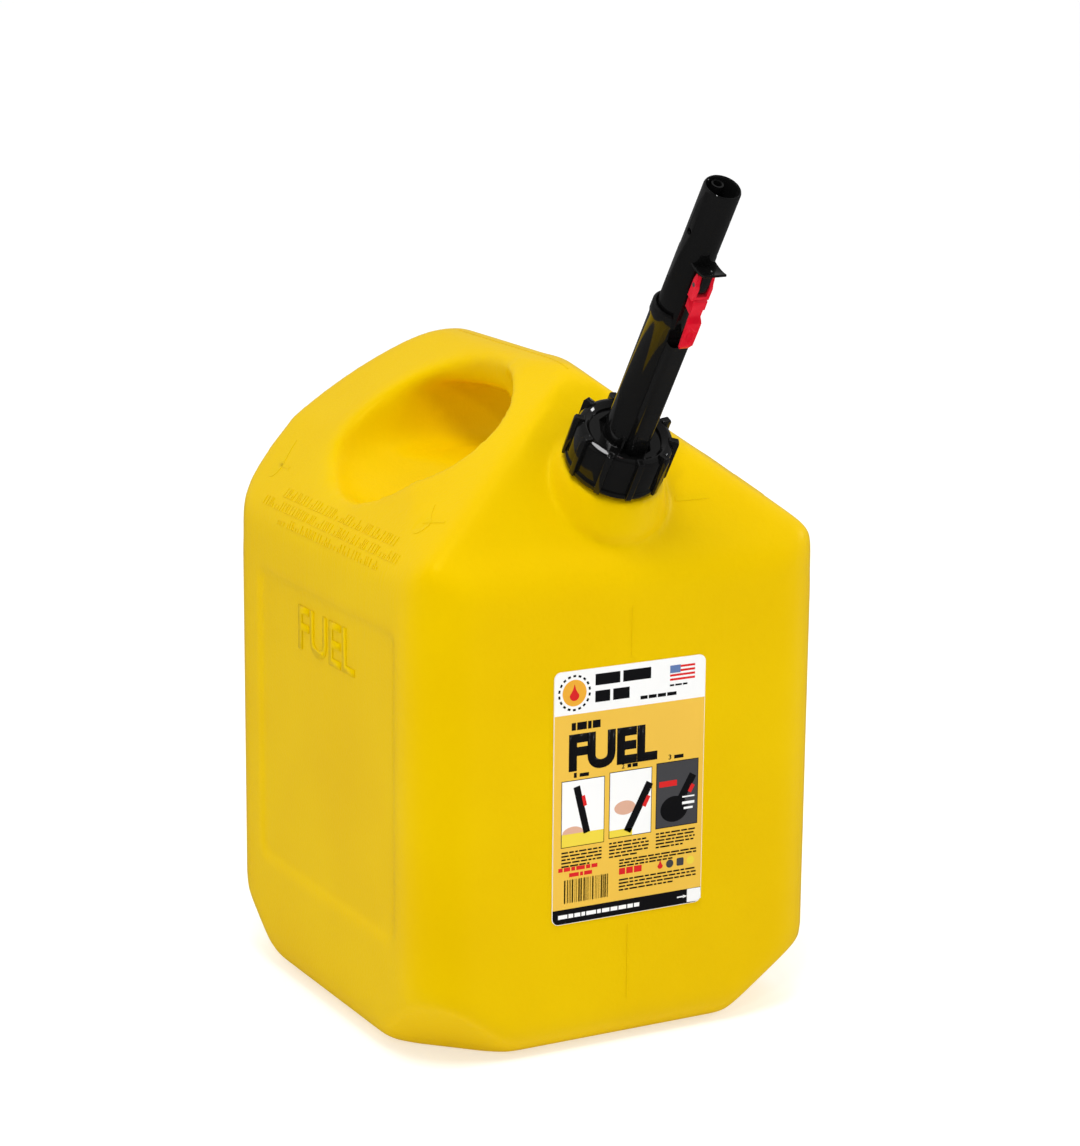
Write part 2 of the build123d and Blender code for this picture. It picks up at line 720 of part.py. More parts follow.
spring_radius = seat_bore + spring_wire / 2 + spring_gap
spring_length = nozzle_bottom - seat_ledge - spring_wire - spring_gap
with BuildPart() as coil:
    with BuildLine() as coil_line:
        Helix(spring_length / spring_turns, spring_length, spring_radius)
    with BuildSketch(Plane(origin=coil_line.line @ 0, z_dir=coil_line.line % 0)):
        Circle(spring_wire / 2)
    sweep(path=coil_line.line, is_frenet=True)
with BuildPart() as return_spring:
    add(spout.offset(seat_ledge + (spring_wire + spring_gap) / 2).from_local_coords(coil.part))
finish(return_spring, "return_spring")

# ---- 9. wiper and vent tube -------------------------------------------------------------
wiper_seal = disc(wiper_low, wiper_low + wiper_height, wiper_radius, nozzle_radius + pin_play)
finish(wiper_seal, "wiper_seal")

vent_tube = disc(vent_bottom, vent_top, vent_radius, vent_bore, centre=(0, vent_offset))
finish(vent_tube, "vent_tube")

with BuildPart() as vent_carrier:
    with BuildSketch(spout.offset(vent_bottom)):
        Circle(nozzle_bore)
        Circle(nozzle_bore - carrier_ring, mode=Mode.SUBTRACT)
        with Locations((0, vent_offset)):
            Circle(vent_radius + carrier_ring)
            Circle(vent_radius, mode=Mode.SUBTRACT)
    extrude(amount=carrier_height)
    with BuildSketch(spout.offset(vent_bottom - 1)):
        Circle(2 * nozzle_bore)
        Circle(nozzle_bore, mode=Mode.SUBTRACT)
    extrude(amount=carrier_height + 2, mode=Mode.SUBTRACT)
finish(vent_carrier, "vent_carrier")

# ---- 10. flame arrestor in the neck -----------------------------------------------------
with BuildPart() as arrestor_ring:
    with BuildSketch(spout.offset(-arrestor_ring_height)):
        Circle(neck_bore_radius)
        Circle(arrestor_radius, mode=Mode.SUBTRACT)
    extrude(amount=arrestor_ring_height - arrestor_play)
finish(arrestor_ring, "arrestor_ring")

with BuildPart() as arrestor_screen:
    with BuildSketch(spout.offset(-arrestor_depth)):
        Circle(arrestor_radius)
    extrude(amount=arrestor_depth - arrestor_play)
    with BuildSketch(spout.offset(-arrestor_depth + arrestor_wall)):
        Circle(arrestor_radius - arrestor_wall)
    extrude(amount=arrestor_depth, mode=Mode.SUBTRACT)
    step = 360 / screen_hole_count
    for row in range(screen_hole_rows):
        for turn in range(screen_hole_count):
            angle = math.radians(step * (turn + 0.5 * (row % 2)))
            out = spout.x_dir * math.cos(angle) + spout.y_dir * math.sin(angle)
            rise = -arrestor_depth + screen_hole_first + screen_hole_rise * row
            with BuildSketch(Plane(origin=neck_point + spout_dir * rise, z_dir=out)):
                Circle(screen_hole_radius)
            extrude(amount=arrestor_radius + 1, mode=Mode.SUBTRACT)
finish(arrestor_screen, "arrestor_screen")
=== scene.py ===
# %% [markdown]
# # A fuel can with a pouring spout
# The can is a blow-moulded plastic shell with a bridge handle, a printed label and a black spout held by a
# screw collar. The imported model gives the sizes, the places and the joints. This lesson loads it as a fixed
# frame and makes the looks around it: soft moulded edges, raised marks, glossy spout parts, print and
# finishes.

# %% load the frame
import json
import math
import random

import bmesh
import bpy
from mathutils import Matrix, Vector
from mathutils.bvhtree import BVHTree

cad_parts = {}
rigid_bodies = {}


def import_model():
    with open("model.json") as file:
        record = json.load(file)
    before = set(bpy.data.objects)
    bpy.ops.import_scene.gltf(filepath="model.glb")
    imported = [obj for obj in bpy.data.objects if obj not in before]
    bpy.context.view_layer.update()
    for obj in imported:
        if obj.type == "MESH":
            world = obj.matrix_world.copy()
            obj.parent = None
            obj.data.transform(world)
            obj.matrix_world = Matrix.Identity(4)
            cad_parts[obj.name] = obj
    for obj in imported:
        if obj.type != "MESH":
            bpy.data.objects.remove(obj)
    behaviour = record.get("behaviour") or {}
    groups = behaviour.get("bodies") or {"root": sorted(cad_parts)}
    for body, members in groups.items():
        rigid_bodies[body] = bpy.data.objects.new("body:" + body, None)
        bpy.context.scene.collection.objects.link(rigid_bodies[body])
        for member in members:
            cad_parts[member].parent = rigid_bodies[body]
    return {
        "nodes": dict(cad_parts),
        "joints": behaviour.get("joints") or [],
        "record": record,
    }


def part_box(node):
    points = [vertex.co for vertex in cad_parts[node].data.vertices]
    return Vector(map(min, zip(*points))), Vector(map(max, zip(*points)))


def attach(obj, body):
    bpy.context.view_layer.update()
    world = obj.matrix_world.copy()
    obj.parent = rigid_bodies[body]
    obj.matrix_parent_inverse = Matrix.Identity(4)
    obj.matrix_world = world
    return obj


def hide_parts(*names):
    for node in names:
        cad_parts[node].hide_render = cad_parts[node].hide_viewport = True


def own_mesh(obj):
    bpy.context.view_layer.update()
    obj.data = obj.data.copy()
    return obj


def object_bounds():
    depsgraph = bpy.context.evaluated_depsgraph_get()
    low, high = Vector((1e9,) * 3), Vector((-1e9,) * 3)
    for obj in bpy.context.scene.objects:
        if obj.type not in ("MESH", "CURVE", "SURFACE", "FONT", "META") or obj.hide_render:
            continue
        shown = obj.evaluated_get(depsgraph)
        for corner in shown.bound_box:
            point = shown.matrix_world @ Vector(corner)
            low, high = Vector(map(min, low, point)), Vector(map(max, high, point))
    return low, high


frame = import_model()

MM = 0.001
cad_low, cad_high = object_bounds()
print("model box in mm:", [round(side / MM, 1) for side in cad_high - cad_low])

# %% [markdown]
# Every operator works on what is selected, so each step first selects one piece and nothing else. Inside a
# piece, points, edges and faces are picked by where they are, which keeps working when a size changes.

# %% choosing what to work on
def work_on(piece):
    bpy.ops.object.select_all(action="DESELECT")
    piece.select_set(True)
    bpy.context.view_layer.objects.active = piece


def named(name):
    """Name the primitive that was just added."""
    piece = bpy.context.object
    piece.name = name
    piece.data.name = name
    return piece


def edit(piece, kind="VERT"):
    work_on(piece)
    bpy.ops.object.mode_set(mode="EDIT")
    bpy.ops.mesh.select_mode(type=kind)


def done():
    bpy.ops.object.mode_set(mode="OBJECT")


def apply_modifier(piece, kind, **settings):
    """Add one modifier to a piece, set it and apply it."""
    work_on(piece)
    step = piece.modifiers.new(kind, kind)
    for key, value in settings.items():
        setattr(step, key, value)
    bpy.ops.object.modifier_apply(modifier=step.name)


def pick(piece, test, kind="verts"):
    """In edit mode, select the vertices, edges or faces for which test is true."""
    mesh = bmesh.from_edit_mesh(piece.data)
    for group in (mesh.faces, mesh.edges, mesh.verts):
        for part in group:
            part.select = False
    for part in getattr(mesh, kind):
        if test(part):
            part.select_set(True)
    bmesh.update_edit_mesh(piece.data)


def close_up(piece, merge=1e-6):
    """Merge points that coincide and turn all faces outwards."""
    edit(piece)
    bpy.ops.mesh.select_all(action="SELECT")
    bpy.ops.mesh.remove_doubles(threshold=merge)
    bpy.ops.mesh.normals_make_consistent(inside=False)
    done()

# %% [markdown]
# The spout parts are round about one leaning axis. They are easiest to model upright, with the neck's rim
# at height zero, and then laid on that axis by one matrix. The axis comes from the joint that the spout
# turns on.

# %% the spout's axis
swivel = next(joint for joint in frame["joints"] if joint["name"] == "spout_swivel")
rim_centre = Vector(swivel["pos_m"])
spout_axis = Vector(swivel["axis"]).normalized()
across = Vector((1, 0, 0))
uphill = spout_axis.cross(across)
to_spout = Matrix.Translation(rim_centre) @ Matrix((across, uphill, spout_axis)).transposed().to_4x4()
from_spout = to_spout.inverted()


def span(node):
    """Lowest and highest point of a node along the spout's axis, in millimetres above the neck's rim."""
    heights = [(from_spout @ v.co).z / MM for v in frame["nodes"][node].data.vertices]
    return min(heights), max(heights)


def reach(node, low, high):
    """Largest distance from the spout's axis between two heights, in millimetres."""
    points = [from_spout @ v.co / MM for v in frame["nodes"][node].data.vertices]
    return max(math.hypot(p.x, p.y) for p in points if low <= p.z <= high)


print("collar", span("screw_collar"), "tube", span("base_tube"), "nozzle", span("nozzle"))

# %% [markdown]
# The camera looks down a little on the front left corner, from less than two metres, with a long lens. A
# long lens keeps the upright edges nearly parallel. It is turned to a point inside the can and rolled by
# half a degree.

# %% camera
eye = Vector((-0.8233, -1.5386, 0.6449))
looked_at = Vector((0.0132, 0.0013, 0.2336))
roll = math.radians(0.55)
bpy.ops.object.camera_add(location=eye)
camera = bpy.context.object
turn = (looked_at - eye).to_track_quat("-Z", "Y").to_matrix().to_4x4()
camera.matrix_world = Matrix.Translation(eye) @ turn @ Matrix.Rotation(roll, 4, "Z")
camera.data.lens = 100.6
camera.data.sensor_width = 36
bpy.context.scene.camera = camera
print("camera distance in metres:", round((eye - looked_at).length, 2))

# %% [markdown]
# ## The can's skin
# A blow-moulded shell has no sharp edge: the plastic is thin, and it pulls round every corner of the mould.
# The model's shell has the right planes but hard edges. It could be bevelled edge by edge, but its roof has
# many facets that meet at odd angles. Instead a copy is closed, rebuilt as a fine even mesh, and relaxed,
# which rounds every edge the way the plastic does. The threaded neck stays crisp, so it is cut off first
# and kept.

# %% copy the shell and cut off the neck
def copy_of(node, name):
    """A separate, merged copy of a node's mesh."""
    piece = bpy.data.objects.new(name, frame["nodes"][node].data.copy())
    bpy.context.scene.collection.objects.link(piece)
    piece.data.materials.clear()
    close_up(piece)
    return piece


def from_axis(point):
    """Distance from the spout's axis and height above the neck's rim, in millimetres."""
    local = from_spout @ point / MM
    return math.hypot(local.x, local.y), local.z


neck_foot = -19.0
neck_outside = 22.2
neck_bore = 19.4
thread_room = 3
below_foot = 8
skin = copy_of("tank_body", "can_skin")
edit(skin, "FACE")


def on_neck(face):
    places = [from_axis(v.co) for v in face.verts]
    return all(radius < neck_outside + thread_room and height > neck_foot - below_foot
               for radius, height in places)


pick(skin, on_neck, "faces")
cut = to_spout @ Vector((0, 0, (neck_foot + 0.15) * MM))
bpy.ops.mesh.bisect(plane_co=cut, plane_no=spout_axis, threshold=1e-7)
pick(skin, lambda f: on_neck(f) and min(from_axis(v.co)[1] for v in f.verts) > neck_foot + 0.1, "faces")
bpy.ops.mesh.separate(type="SELECTED")
done()
neck = next(o for o in bpy.context.selected_objects if o != skin)
neck.name = "can_neck"
print("neck faces:", len(neck.data.polygons), "shell faces:", len(skin.data.polygons))

# %% keep the outer surface only and close it
edit(skin)
far_left = min(v.co.x for v in skin.data.vertices)
pick(skin, lambda v: v.co.x < far_left + 1e-6)
bpy.ops.mesh.select_linked()
bpy.ops.mesh.select_all(action="INVERT")
bpy.ops.mesh.delete(type="VERT")
bpy.ops.mesh.select_mode(type="EDGE")
bpy.ops.mesh.select_all(action="DESELECT")
bpy.ops.mesh.select_non_manifold(extend=False)
bpy.ops.mesh.edge_face_add()
bpy.ops.mesh.select_all(action="SELECT")
bpy.ops.mesh.normals_make_consistent(inside=False)
done()
print("faces of the closed outer surface:", len(skin.data.polygons))

# %% root the neck in the boss
root_depth = 2.5 * MM
edit(neck, "EDGE")
bpy.ops.mesh.select_all(action="DESELECT")
bpy.ops.mesh.select_non_manifold(extend=False)
bpy.ops.mesh.extrude_region_move(TRANSFORM_OT_translate={"value": -spout_axis * root_depth})
bpy.ops.mesh.bridge_edge_loops()
bpy.ops.mesh.select_all(action="SELECT")
bpy.ops.mesh.normals_make_consistent(inside=False)
done()
print("neck faces with its root:", len(neck.data.polygons))

# %% [markdown]
# The rebuilt mesh is relaxed in passes. A few passes everywhere take the steps out of the mesh. More passes
# go to the roof and the foot, where the mould's edges are generous. The front rim of the hand pocket, the
# boss and the sunk side panels keep their form, so they are left out of the long passes.

# %% rebuild and relax
voxel = 2.15 * MM
shoulder = 262 * MM
foot = 45 * MM
boss_depth = 45
pocket_floor = 280 * MM
pocket_front = -66 * MM
pocket_back = -14 * MM
bridge_half_width = 10 * MM
apply_modifier(skin, "REMESH", mode="VOXEL", voxel_size=voxel)


def near_spout(point, radius):
    distance, height = from_axis(point)
    return distance < radius and height > -boss_depth


def pocket_rim(point):
    """The crisp front edge of the hand pockets."""
    along = pocket_front < point.y < pocket_back
    return point.z > pocket_floor and along and abs(point.x) > bridge_half_width


edit(skin)
bpy.ops.mesh.select_all(action="SELECT")
bpy.ops.mesh.vertices_smooth(factor=0.5, repeat=4)
pick(skin, lambda v: v.co.z > shoulder - 20 * MM and not near_spout(v.co, 48) and not pocket_rim(v.co))
bpy.ops.mesh.vertices_smooth(factor=0.5, repeat=24)
pick(skin, lambda v: v.co.z < foot)
bpy.ops.mesh.vertices_smooth(factor=0.5, repeat=16)
pick(skin, lambda v: v.co.z > shoulder - 25 * MM and not near_spout(v.co, 40))
bpy.ops.mesh.vertices_smooth(factor=0.5, repeat=3)
done()
print("skin faces:", len(skin.data.polygons))

# %% [markdown]
# The mouth is bored through the closed skin so that the flame arrestor sits in a real hole, and the skin
# gets smooth shading. The bore stops below the arrestor, where nothing is seen.

# %% bore the mouth
def carve(piece, tool, how="DIFFERENCE"):
    """Cut the tool out of a piece, or join it on, and delete the tool."""
    apply_modifier(piece, "BOOLEAN", operation=how, solver="EXACT", object=tool)
    bpy.data.objects.remove(tool)


def rod(name, radius, low, high, vertices=96):
    """An upright cylinder between two heights, in millimetres."""
    bpy.ops.object.select_all(action="DESELECT")
    bpy.ops.mesh.primitive_cylinder_add(vertices=vertices, radius=radius * MM, depth=(high - low) * MM,
                                        location=(0, 0, (low + high) / 2 * MM))
    piece = named(name)
    bpy.ops.object.transform_apply(location=True)
    return piece


arrestor_low = span("arrestor_screen")[0]
bore = rod("bore", neck_bore, arrestor_low - 3, 1)
bore.data.transform(to_spout)
carve(skin, bore)
work_on(skin)
bpy.ops.object.shade_smooth_by_angle(angle=math.radians(50))
work_on(neck)
bpy.ops.object.shade_smooth_by_angle(angle=math.radians(30))
surface = BVHTree.FromPolygons([v.co for v in skin.data.vertices], [p.vertices for p in skin.data.polygons])
print("skin faces with the mouth open:", len(skin.data.polygons))

# %% [markdown]
# ## Raised marks
# The mould leaves raised marks: a word on each side panel, rows of small marks along each shoulder and a
# drop sign on each corner of the roof. Each is cut flat, laid on the skin by sending every point along one
# direction until it meets the surface, and given a little height. The rows are plain bars, and the word is
# a plain one.

# %% laying a flat mark on the skin
start_off = 0.3      # metres before the flat mark where each search for the skin starts
sink = 0.35          # millimetres that a mark reaches into the skin


def lay_on(piece, direction, stand):
    """Send each point of a flat piece along a direction to the skin, then thicken it down into the skin."""
    for vertex in piece.data.vertices:
        hit = surface.ray_cast(vertex.co - direction * start_off, direction)[0]
        if hit is None:
            raise ValueError(f"{piece.name} misses the skin")
        vertex.co = hit - direction * (stand * MM)
    apply_modifier(piece, "SOLIDIFY", thickness=(stand + sink) * MM, offset=-1)
    close_up(piece)

# %% [markdown]
# The flat marks are few in kind: a word, a bar and a drop. Each is drawn with its corner or its middle at the
# origin, its sizes are given in millimetres, and several can be joined to one piece.

# %% flat shapes
def rotation(degrees, axis):
    """A turn about one axis through the origin."""
    return Matrix.Rotation(math.radians(degrees), 4, axis)


def words(name, text, width, height, bold):
    """Plain capitals as a flat mesh of the given width and height, with a corner at the origin."""
    bpy.ops.object.select_all(action="DESELECT")
    bpy.ops.object.text_add()
    letters = named(name)
    letters.data.body = text
    letters.data.offset = bold
    letters.data.resolution_u = 6
    bpy.ops.object.convert(target="MESH")
    letters = named(name)
    xs = [v.co.x for v in letters.data.vertices]
    ys = [v.co.y for v in letters.data.vertices]
    grow = Matrix.Diagonal((width * MM / (max(xs) - min(xs)), height * MM / (max(ys) - min(ys)), 1, 1))
    letters.data.transform(grow @ Matrix.Translation((-min(xs), -min(ys), 0)))
    close_up(letters, 1e-5)
    return letters


def bar(name, width, height):
    """A flat bar with its corner at the origin."""
    bpy.ops.object.select_all(action="DESELECT")
    bpy.ops.mesh.primitive_plane_add(size=1, location=(0.5, 0.5, 0))
    piece = named(name)
    bpy.ops.object.transform_apply(location=True)
    piece.data.transform(Matrix.Diagonal((width * MM, height * MM, 1, 1)))
    return piece


def drop(name, height, points=28):
    """A flat drop: a round foot that rises to a tip."""
    bpy.ops.object.select_all(action="DESELECT")
    foot_radius = 0.32 * height * MM
    bpy.ops.mesh.primitive_circle_add(vertices=points, radius=foot_radius, fill_type="NGON")
    piece = named(name)
    for vertex in piece.data.vertices:
        up = max(0.0, vertex.co.y / foot_radius)
        vertex.co.x *= 1 - 0.75 * up ** 1.5
        vertex.co.y += 0.36 * height * MM * up ** 4
    return piece


def joined(name, pieces):
    work_on(pieces[0])
    for piece in pieces:
        piece.select_set(True)
    bpy.ops.object.join()
    return named(name)


def subdivide(piece, cuts):
    """Split all edges, so that a flat piece can follow a curve."""
    edit(piece)
    bpy.ops.mesh.select_all(action="SELECT")
    bpy.ops.mesh.subdivide(number_cuts=cuts)
    done()

# %% the marks on both sides
def side_frame(side, y, z):
    """Matrix that turns a flat mark to face out of the left (-1) or right (1) wall, its corner at y, z."""
    along = Vector((0, side, 0))
    up = Vector((0, 0, 1))
    return Matrix.Translation((side * 0.2, y, z)) @ Matrix((along, up, along.cross(up))).transposed().to_4x4()


marks = []
word_width = 72
word_height = 25
word_low = 199
middle_y = -6
above = 0.45         # metres, higher than all of the can
shoulder_rows = ((277, -74, 66), (270.5, -92, 78), (264, -64, 62))    # height, first and last place
drop_places = ((99.5, 96.5, 90), (97.5, -79.5, 62))                   # x, y and turn in degrees
for side, tag in ((-1, "left"), (1, "right")):
    word = words(f"panel_word_{tag}", "FUEL", word_width, word_height, 0.018)
    word.data.transform(side_frame(side, (middle_y - side * word_width / 2) * MM, word_low * MM))
    lay_on(word, Vector((-side, 0, 0)), 0.55)
    marks.append(word)
    dice = random.Random(4)
    bars = []
    for z, first, last in shoulder_rows:
        at = first
        while at < last:
            length = dice.choice((1.0, 1.4, 2.2, 2.8))
            piece = bar("bar", length, dice.choice((4.4, 4.4, 2.0)))
            piece.data.transform(side_frame(side, (middle_y + side * at) * MM, z * MM))
            bars.append(piece)
            at += length + dice.choice((0.9, 0.9, 2.6))
    rows = joined(f"shoulder_marks_{tag}", bars)
    subdivide(rows, 1)
    lay_on(rows, Vector((-side, 0, 0)), 0.38)
    marks.append(rows)
    for number, (x, y, turn_by) in enumerate(drop_places):
        sign = joined(f"drop_sign_{tag}_{number}", [drop("outline", 17), bar("foot line", 14, 1.2)])
        sign.data.transform(Matrix.Translation((0, -5 * MM, 0)))
        subdivide(sign, 2)
        spin = rotation(side * turn_by, "Z")
        sign.data.transform(Matrix.Translation((side * x * MM, y * MM, above)) @ spin)
        lay_on(sign, Vector((0, 0, -1)), 0.3)
        marks.append(sign)
print("raised marks:", [mark.name for mark in marks])

# %% [markdown]
# The mould closes in two halves, and the plastic that creeps between them leaves a fine raised line down
# the middle of the can. It could be part of the skin, but that mesh is too coarse for it, so narrow strips
# are laid on the skin like the other marks. One more short line lies on the slope beside the collar.

# %% the mould's parting line
before = -0.3        # metres, in front of all of the can


def line(name, length, width, cuts):
    """A long narrow strip along Y from the origin, with enough points to follow the skin."""
    strip = bar(name, width, length)
    edit(strip, "EDGE")
    pick(strip, lambda e: abs(e.verts[0].co.y - e.verts[1].co.y) > length / 2 * MM, "edges")
    bpy.ops.mesh.subdivide(number_cuts=cuts)
    done()
    strip.data.transform(Matrix.Translation((-width / 2 * MM, 0, 0)))
    return strip


upright = rotation(90, "X")
down, inward = Vector((0, 0, -1)), Vector((0, 1, 0))
for name, length, place, direction in (
    ("parting_top", 128, Matrix.Translation((0, -52 * MM, above)), down),
    ("parting_front_high", 27, Matrix.Translation((0, before, 217 * MM)) @ upright, inward),
    ("parting_front_low", 42, Matrix.Translation((0, before, 26 * MM)) @ upright, inward),
):
    strip = line(name, length, 1.1, 40)
    strip.data.transform(place)
    lay_on(strip, direction, 0.22)
    marks.append(strip)
short_line = line("slope_line", 21, 1.6, 8)
short_line.data.transform(Matrix.Translation((37.5 * MM, -104 * MM, above))
                          @ rotation(-90, "Z"))
lay_on(short_line, down, 0.35)
marks.append(short_line)
print("lines laid:", len(marks))

# %% [markdown]
# ## The spout's round parts
# Collar, tube and nozzle are injection moulded, so their sections are crisp with small even rounds. Each is
# a turned section: a ring of points is moved onto the section's outline and spun once round the axis. A
# narrow bevel afterwards gives the edges of the collar, the nozzle and the tube's webs the thin bright line
# that gloss plastic shows; the tube itself keeps the chamfers of its outline.

# %% turning a section
def turned(name, outline, steps=96):
    """A closed outline of (radius, height) in millimetres, spun into a solid ring."""
    bpy.ops.object.select_all(action="DESELECT")
    bpy.ops.mesh.primitive_circle_add(vertices=len(outline), radius=MM, fill_type="NOTHING")
    piece = named(name)
    for vertex, (radius, height) in zip(piece.data.vertices, outline):
        vertex.co = (radius * MM, 0, height * MM)
    edit(piece)
    bpy.ops.mesh.select_all(action="SELECT")
    bpy.ops.mesh.spin(steps=steps, angle=2 * math.pi, center=(0, 0, 0), axis=(0, 0, 1))
    done()
    close_up(piece)
    return piece


def side_slab(name, outline, half_width, shift=0.0):
    """An outline of (distance in front of the axis, height) in millimetres, pushed out along X."""
    bpy.ops.object.select_all(action="DESELECT")
    bpy.ops.mesh.primitive_circle_add(vertices=len(outline), radius=MM, fill_type="NGON")
    piece = named(name)
    for vertex, (front, height) in zip(piece.data.vertices, outline):
        vertex.co = ((shift - half_width) * MM, -front * MM, height * MM)
    edit(piece)
    bpy.ops.mesh.select_all(action="SELECT")
    bpy.ops.mesh.extrude_region_move(TRANSFORM_OT_translate={"value": (2 * half_width * MM, 0, 0)})
    done()
    close_up(piece)
    return piece


def round_edges(piece, width, segments=3, angle=32):
    """A narrow rounded bevel on every edge sharper than the angle, then smooth shading."""
    apply_modifier(piece, "BEVEL", width=width * MM, segments=segments, limit_method="ANGLE",
                   angle_limit=math.radians(angle), use_clamp_overlap=True)
    bpy.ops.object.shade_smooth_by_angle(angle=math.radians(angle))


def lay_on_axis(piece, body, slot, *nodes):
    """Lay an upright piece on the spout's axis, attach it to the body that it moves with, and hide the nodes
    that it stands for.
    """
    piece.data.transform(to_spout)
    piece.data.update()
    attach(piece, body)
    if nodes:
        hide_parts(*nodes)

# %% [markdown]
# The collar is a threaded sleeve with an open, sloping top, a bead round its foot and ten grip ribs. The
# ribs run from the bead to just above the top, where each ends in two small bright corners. One rib is
# modelled and copied.

# %% collar
collar_low, collar_high = span("screw_collar")
rib_reach = reach("screw_collar", collar_low, collar_high)
collar_foot = collar_low + 0.5
collar_top = collar_high - 1.0
collar_wall = 26.25
collar_bore = 23.75
bead = 27.5
collar_mouth = 19.6
flange_room = 4.3
collar = turned("collar_sleeve", [
    (collar_bore, collar_foot), (bead, collar_foot), (bead, collar_foot + 2.7),
    (collar_wall + 0.3, collar_foot + 3.3), (collar_wall, collar_foot + 4.6), (collar_wall, collar_top - 3.4),
    (collar_wall - 1.2, collar_top - 1.2), (collar_wall - 3.4, collar_top - 0.1), (22.0, collar_top - 0.5),
    (20.6, collar_top - 1.9), (collar_mouth, collar_top - 2.6), (collar_mouth, flange_room),
    (collar_bore, flange_room),
], 120)
round_edges(collar, 0.35)
rib_count = 10
rib_half_width = 1.7
rib = side_slab("collar_rib", [
    (collar_wall - 1, collar_low), (rib_reach - 0.3, collar_low), (rib_reach, collar_low + 1.5),
    (rib_reach, collar_high - 1.6), (rib_reach - 0.9, collar_high), (collar_wall - 3.0, collar_high),
    (collar_wall - 3.9, collar_high - 1.4),
], rib_half_width)
edit(rib, "FACE")
pick(rib, lambda f: all(v.co.z > (collar_high - 0.1) * MM for v in f.verts), "faces")
bpy.ops.mesh.inset(thickness=0.55 * MM)
bpy.ops.transform.translate(value=(0, 0, -0.45 * MM))
done()
round_edges(rib, 0.38)
ribs = [rib]
for turn_number in range(1, rib_count):
    again = rib.copy()
    again.data = rib.data.copy()
    again.data.transform(Matrix.Rotation(2 * math.pi * turn_number / rib_count, 4, "Z"))
    bpy.context.scene.collection.objects.link(again)
    ribs.append(again)
first_rib = math.radians(90 + 90 / rib_count)
for piece in ribs:
    piece.data.transform(Matrix.Rotation(first_rib, 4, "Z"))
collar = joined("grip_collar", [collar] + ribs)
lay_on_axis(collar, "collar", "spout_plastic", "screw_collar")
print("collar top and foot:", collar_top, collar_foot)

# %% [markdown]
# The base tube is fixed in the collar by its flange. A channel with rounded front corners runs up its front
# and ends below the rim in a shallow socket, and above it the rim has a notch with slanting sides. Small
# webs stiffen the tube's foot on the flange. The channel is joined to the tube and the notch is cut with
# booleans, because they cross the round wall at an angle.

# %% base tube
tube_low, tube_top = span("base_tube")
tube_wall = 11.85
rim_wall = 12.4
tube_bore = 10.3
foot_bore = 8
seat_ledge = 14
flange = 21.9
flange_low = 1.5
flange_top = 4.0
tube = turned("base_tube_shell", [
    (foot_bore, tube_low), (tube_wall - 0.8, tube_low), (tube_wall, tube_low + 1.2), (tube_wall, flange_low),
    (flange, flange_low), (flange, flange_top), (tube_wall + 0.6, flange_top), (tube_wall, flange_top + 1),
    (tube_wall, tube_top - 7.6), (rim_wall, tube_top - 6.6), (rim_wall, tube_top - 0.9),
    (rim_wall - 0.7, tube_top), (tube_bore + 0.6, tube_top), (tube_bore, tube_top - 0.7),
    (tube_bore, seat_ledge), (foot_bore, seat_ledge),
])
channel_top = tube_top - 15
channel_foot = 3
channel_back = 9
channel_front = 16
channel_half_width = 5.8
channel_corner = 2.4 * MM
channel_wall = 1.3 * MM
socket_depth = 5 * MM
channel = side_slab("channel", [
    (channel_back, channel_foot), (channel_front, channel_foot), (channel_front, channel_top),
    (channel_back, channel_top),
], channel_half_width)


def front_corner(edge):
    """An upright edge at the front of the channel."""
    first, second = (v.co for v in edge.verts)
    at_front = max(first.y, second.y) < -(channel_front - 0.1) * MM
    return at_front and abs(first.z - second.z) > 10 * MM


edit(channel, "EDGE")
pick(channel, front_corner, "edges")
bpy.ops.mesh.bevel(offset=channel_corner, segments=6)
bpy.ops.mesh.select_mode(type="FACE")
pick(channel, lambda f: f.calc_center_median().z > (channel_top - 0.01) * MM, "faces")
bpy.ops.mesh.inset(thickness=channel_wall)
bpy.ops.transform.translate(value=(0, 0, -socket_depth))
done()
carve(tube, channel, "UNION")
inside = rod("inside", tube_bore, seat_ledge + 0.2, tube_top + 1)
carve(tube, inside)
print("tube from", tube_low, "to", tube_top)

# %% the notch and the webs
notch_low = tube_top - 14.5
notch_half_width = 5.3
notch_slant = 1.42
web_low = 3.7
web_high = 12
notch = side_slab("notch", [(8, notch_low), (20, notch_low), (20, tube_top + 1), (8, tube_top + 1)],
                  notch_half_width)
edit(notch)
pick(notch, lambda v: v.co.z > tube_top * MM)
bpy.ops.transform.resize(value=(notch_slant, 1, 1), center_override=(0, 0, tube_top * MM))
done()
carve(tube, notch)
work_on(tube)
bpy.ops.object.shade_smooth_by_angle(angle=math.radians(32))
webs = []
for angle in (35, 145, 215, 325):
    web = side_slab("web", [
        (tube_wall - 0.6, web_low), (16.2, web_low), (tube_wall + 0.3, web_high), (tube_wall - 0.6, web_high),
    ], 0.6)
    round_edges(web, 0.2)
    web.data.transform(rotation(angle, "Z"))
    webs.append(web)
tube = joined("pour_tube", [tube] + webs)
lay_on_axis(tube, "spout", "spout_plastic", "base_tube")
print("tube faces:", len(tube.data.polygons))

# %% [markdown]
# The nozzle slides in the base tube. Its last stretch is slightly thinner, to fit a filler neck. A lug on
# its front carries the latch, and above it a thin hooked lip catches the filler's rim. The lip is a plate
# that follows the round of the nozzle and turns up at its front edge, so its rows of points are lifted one
# by one.

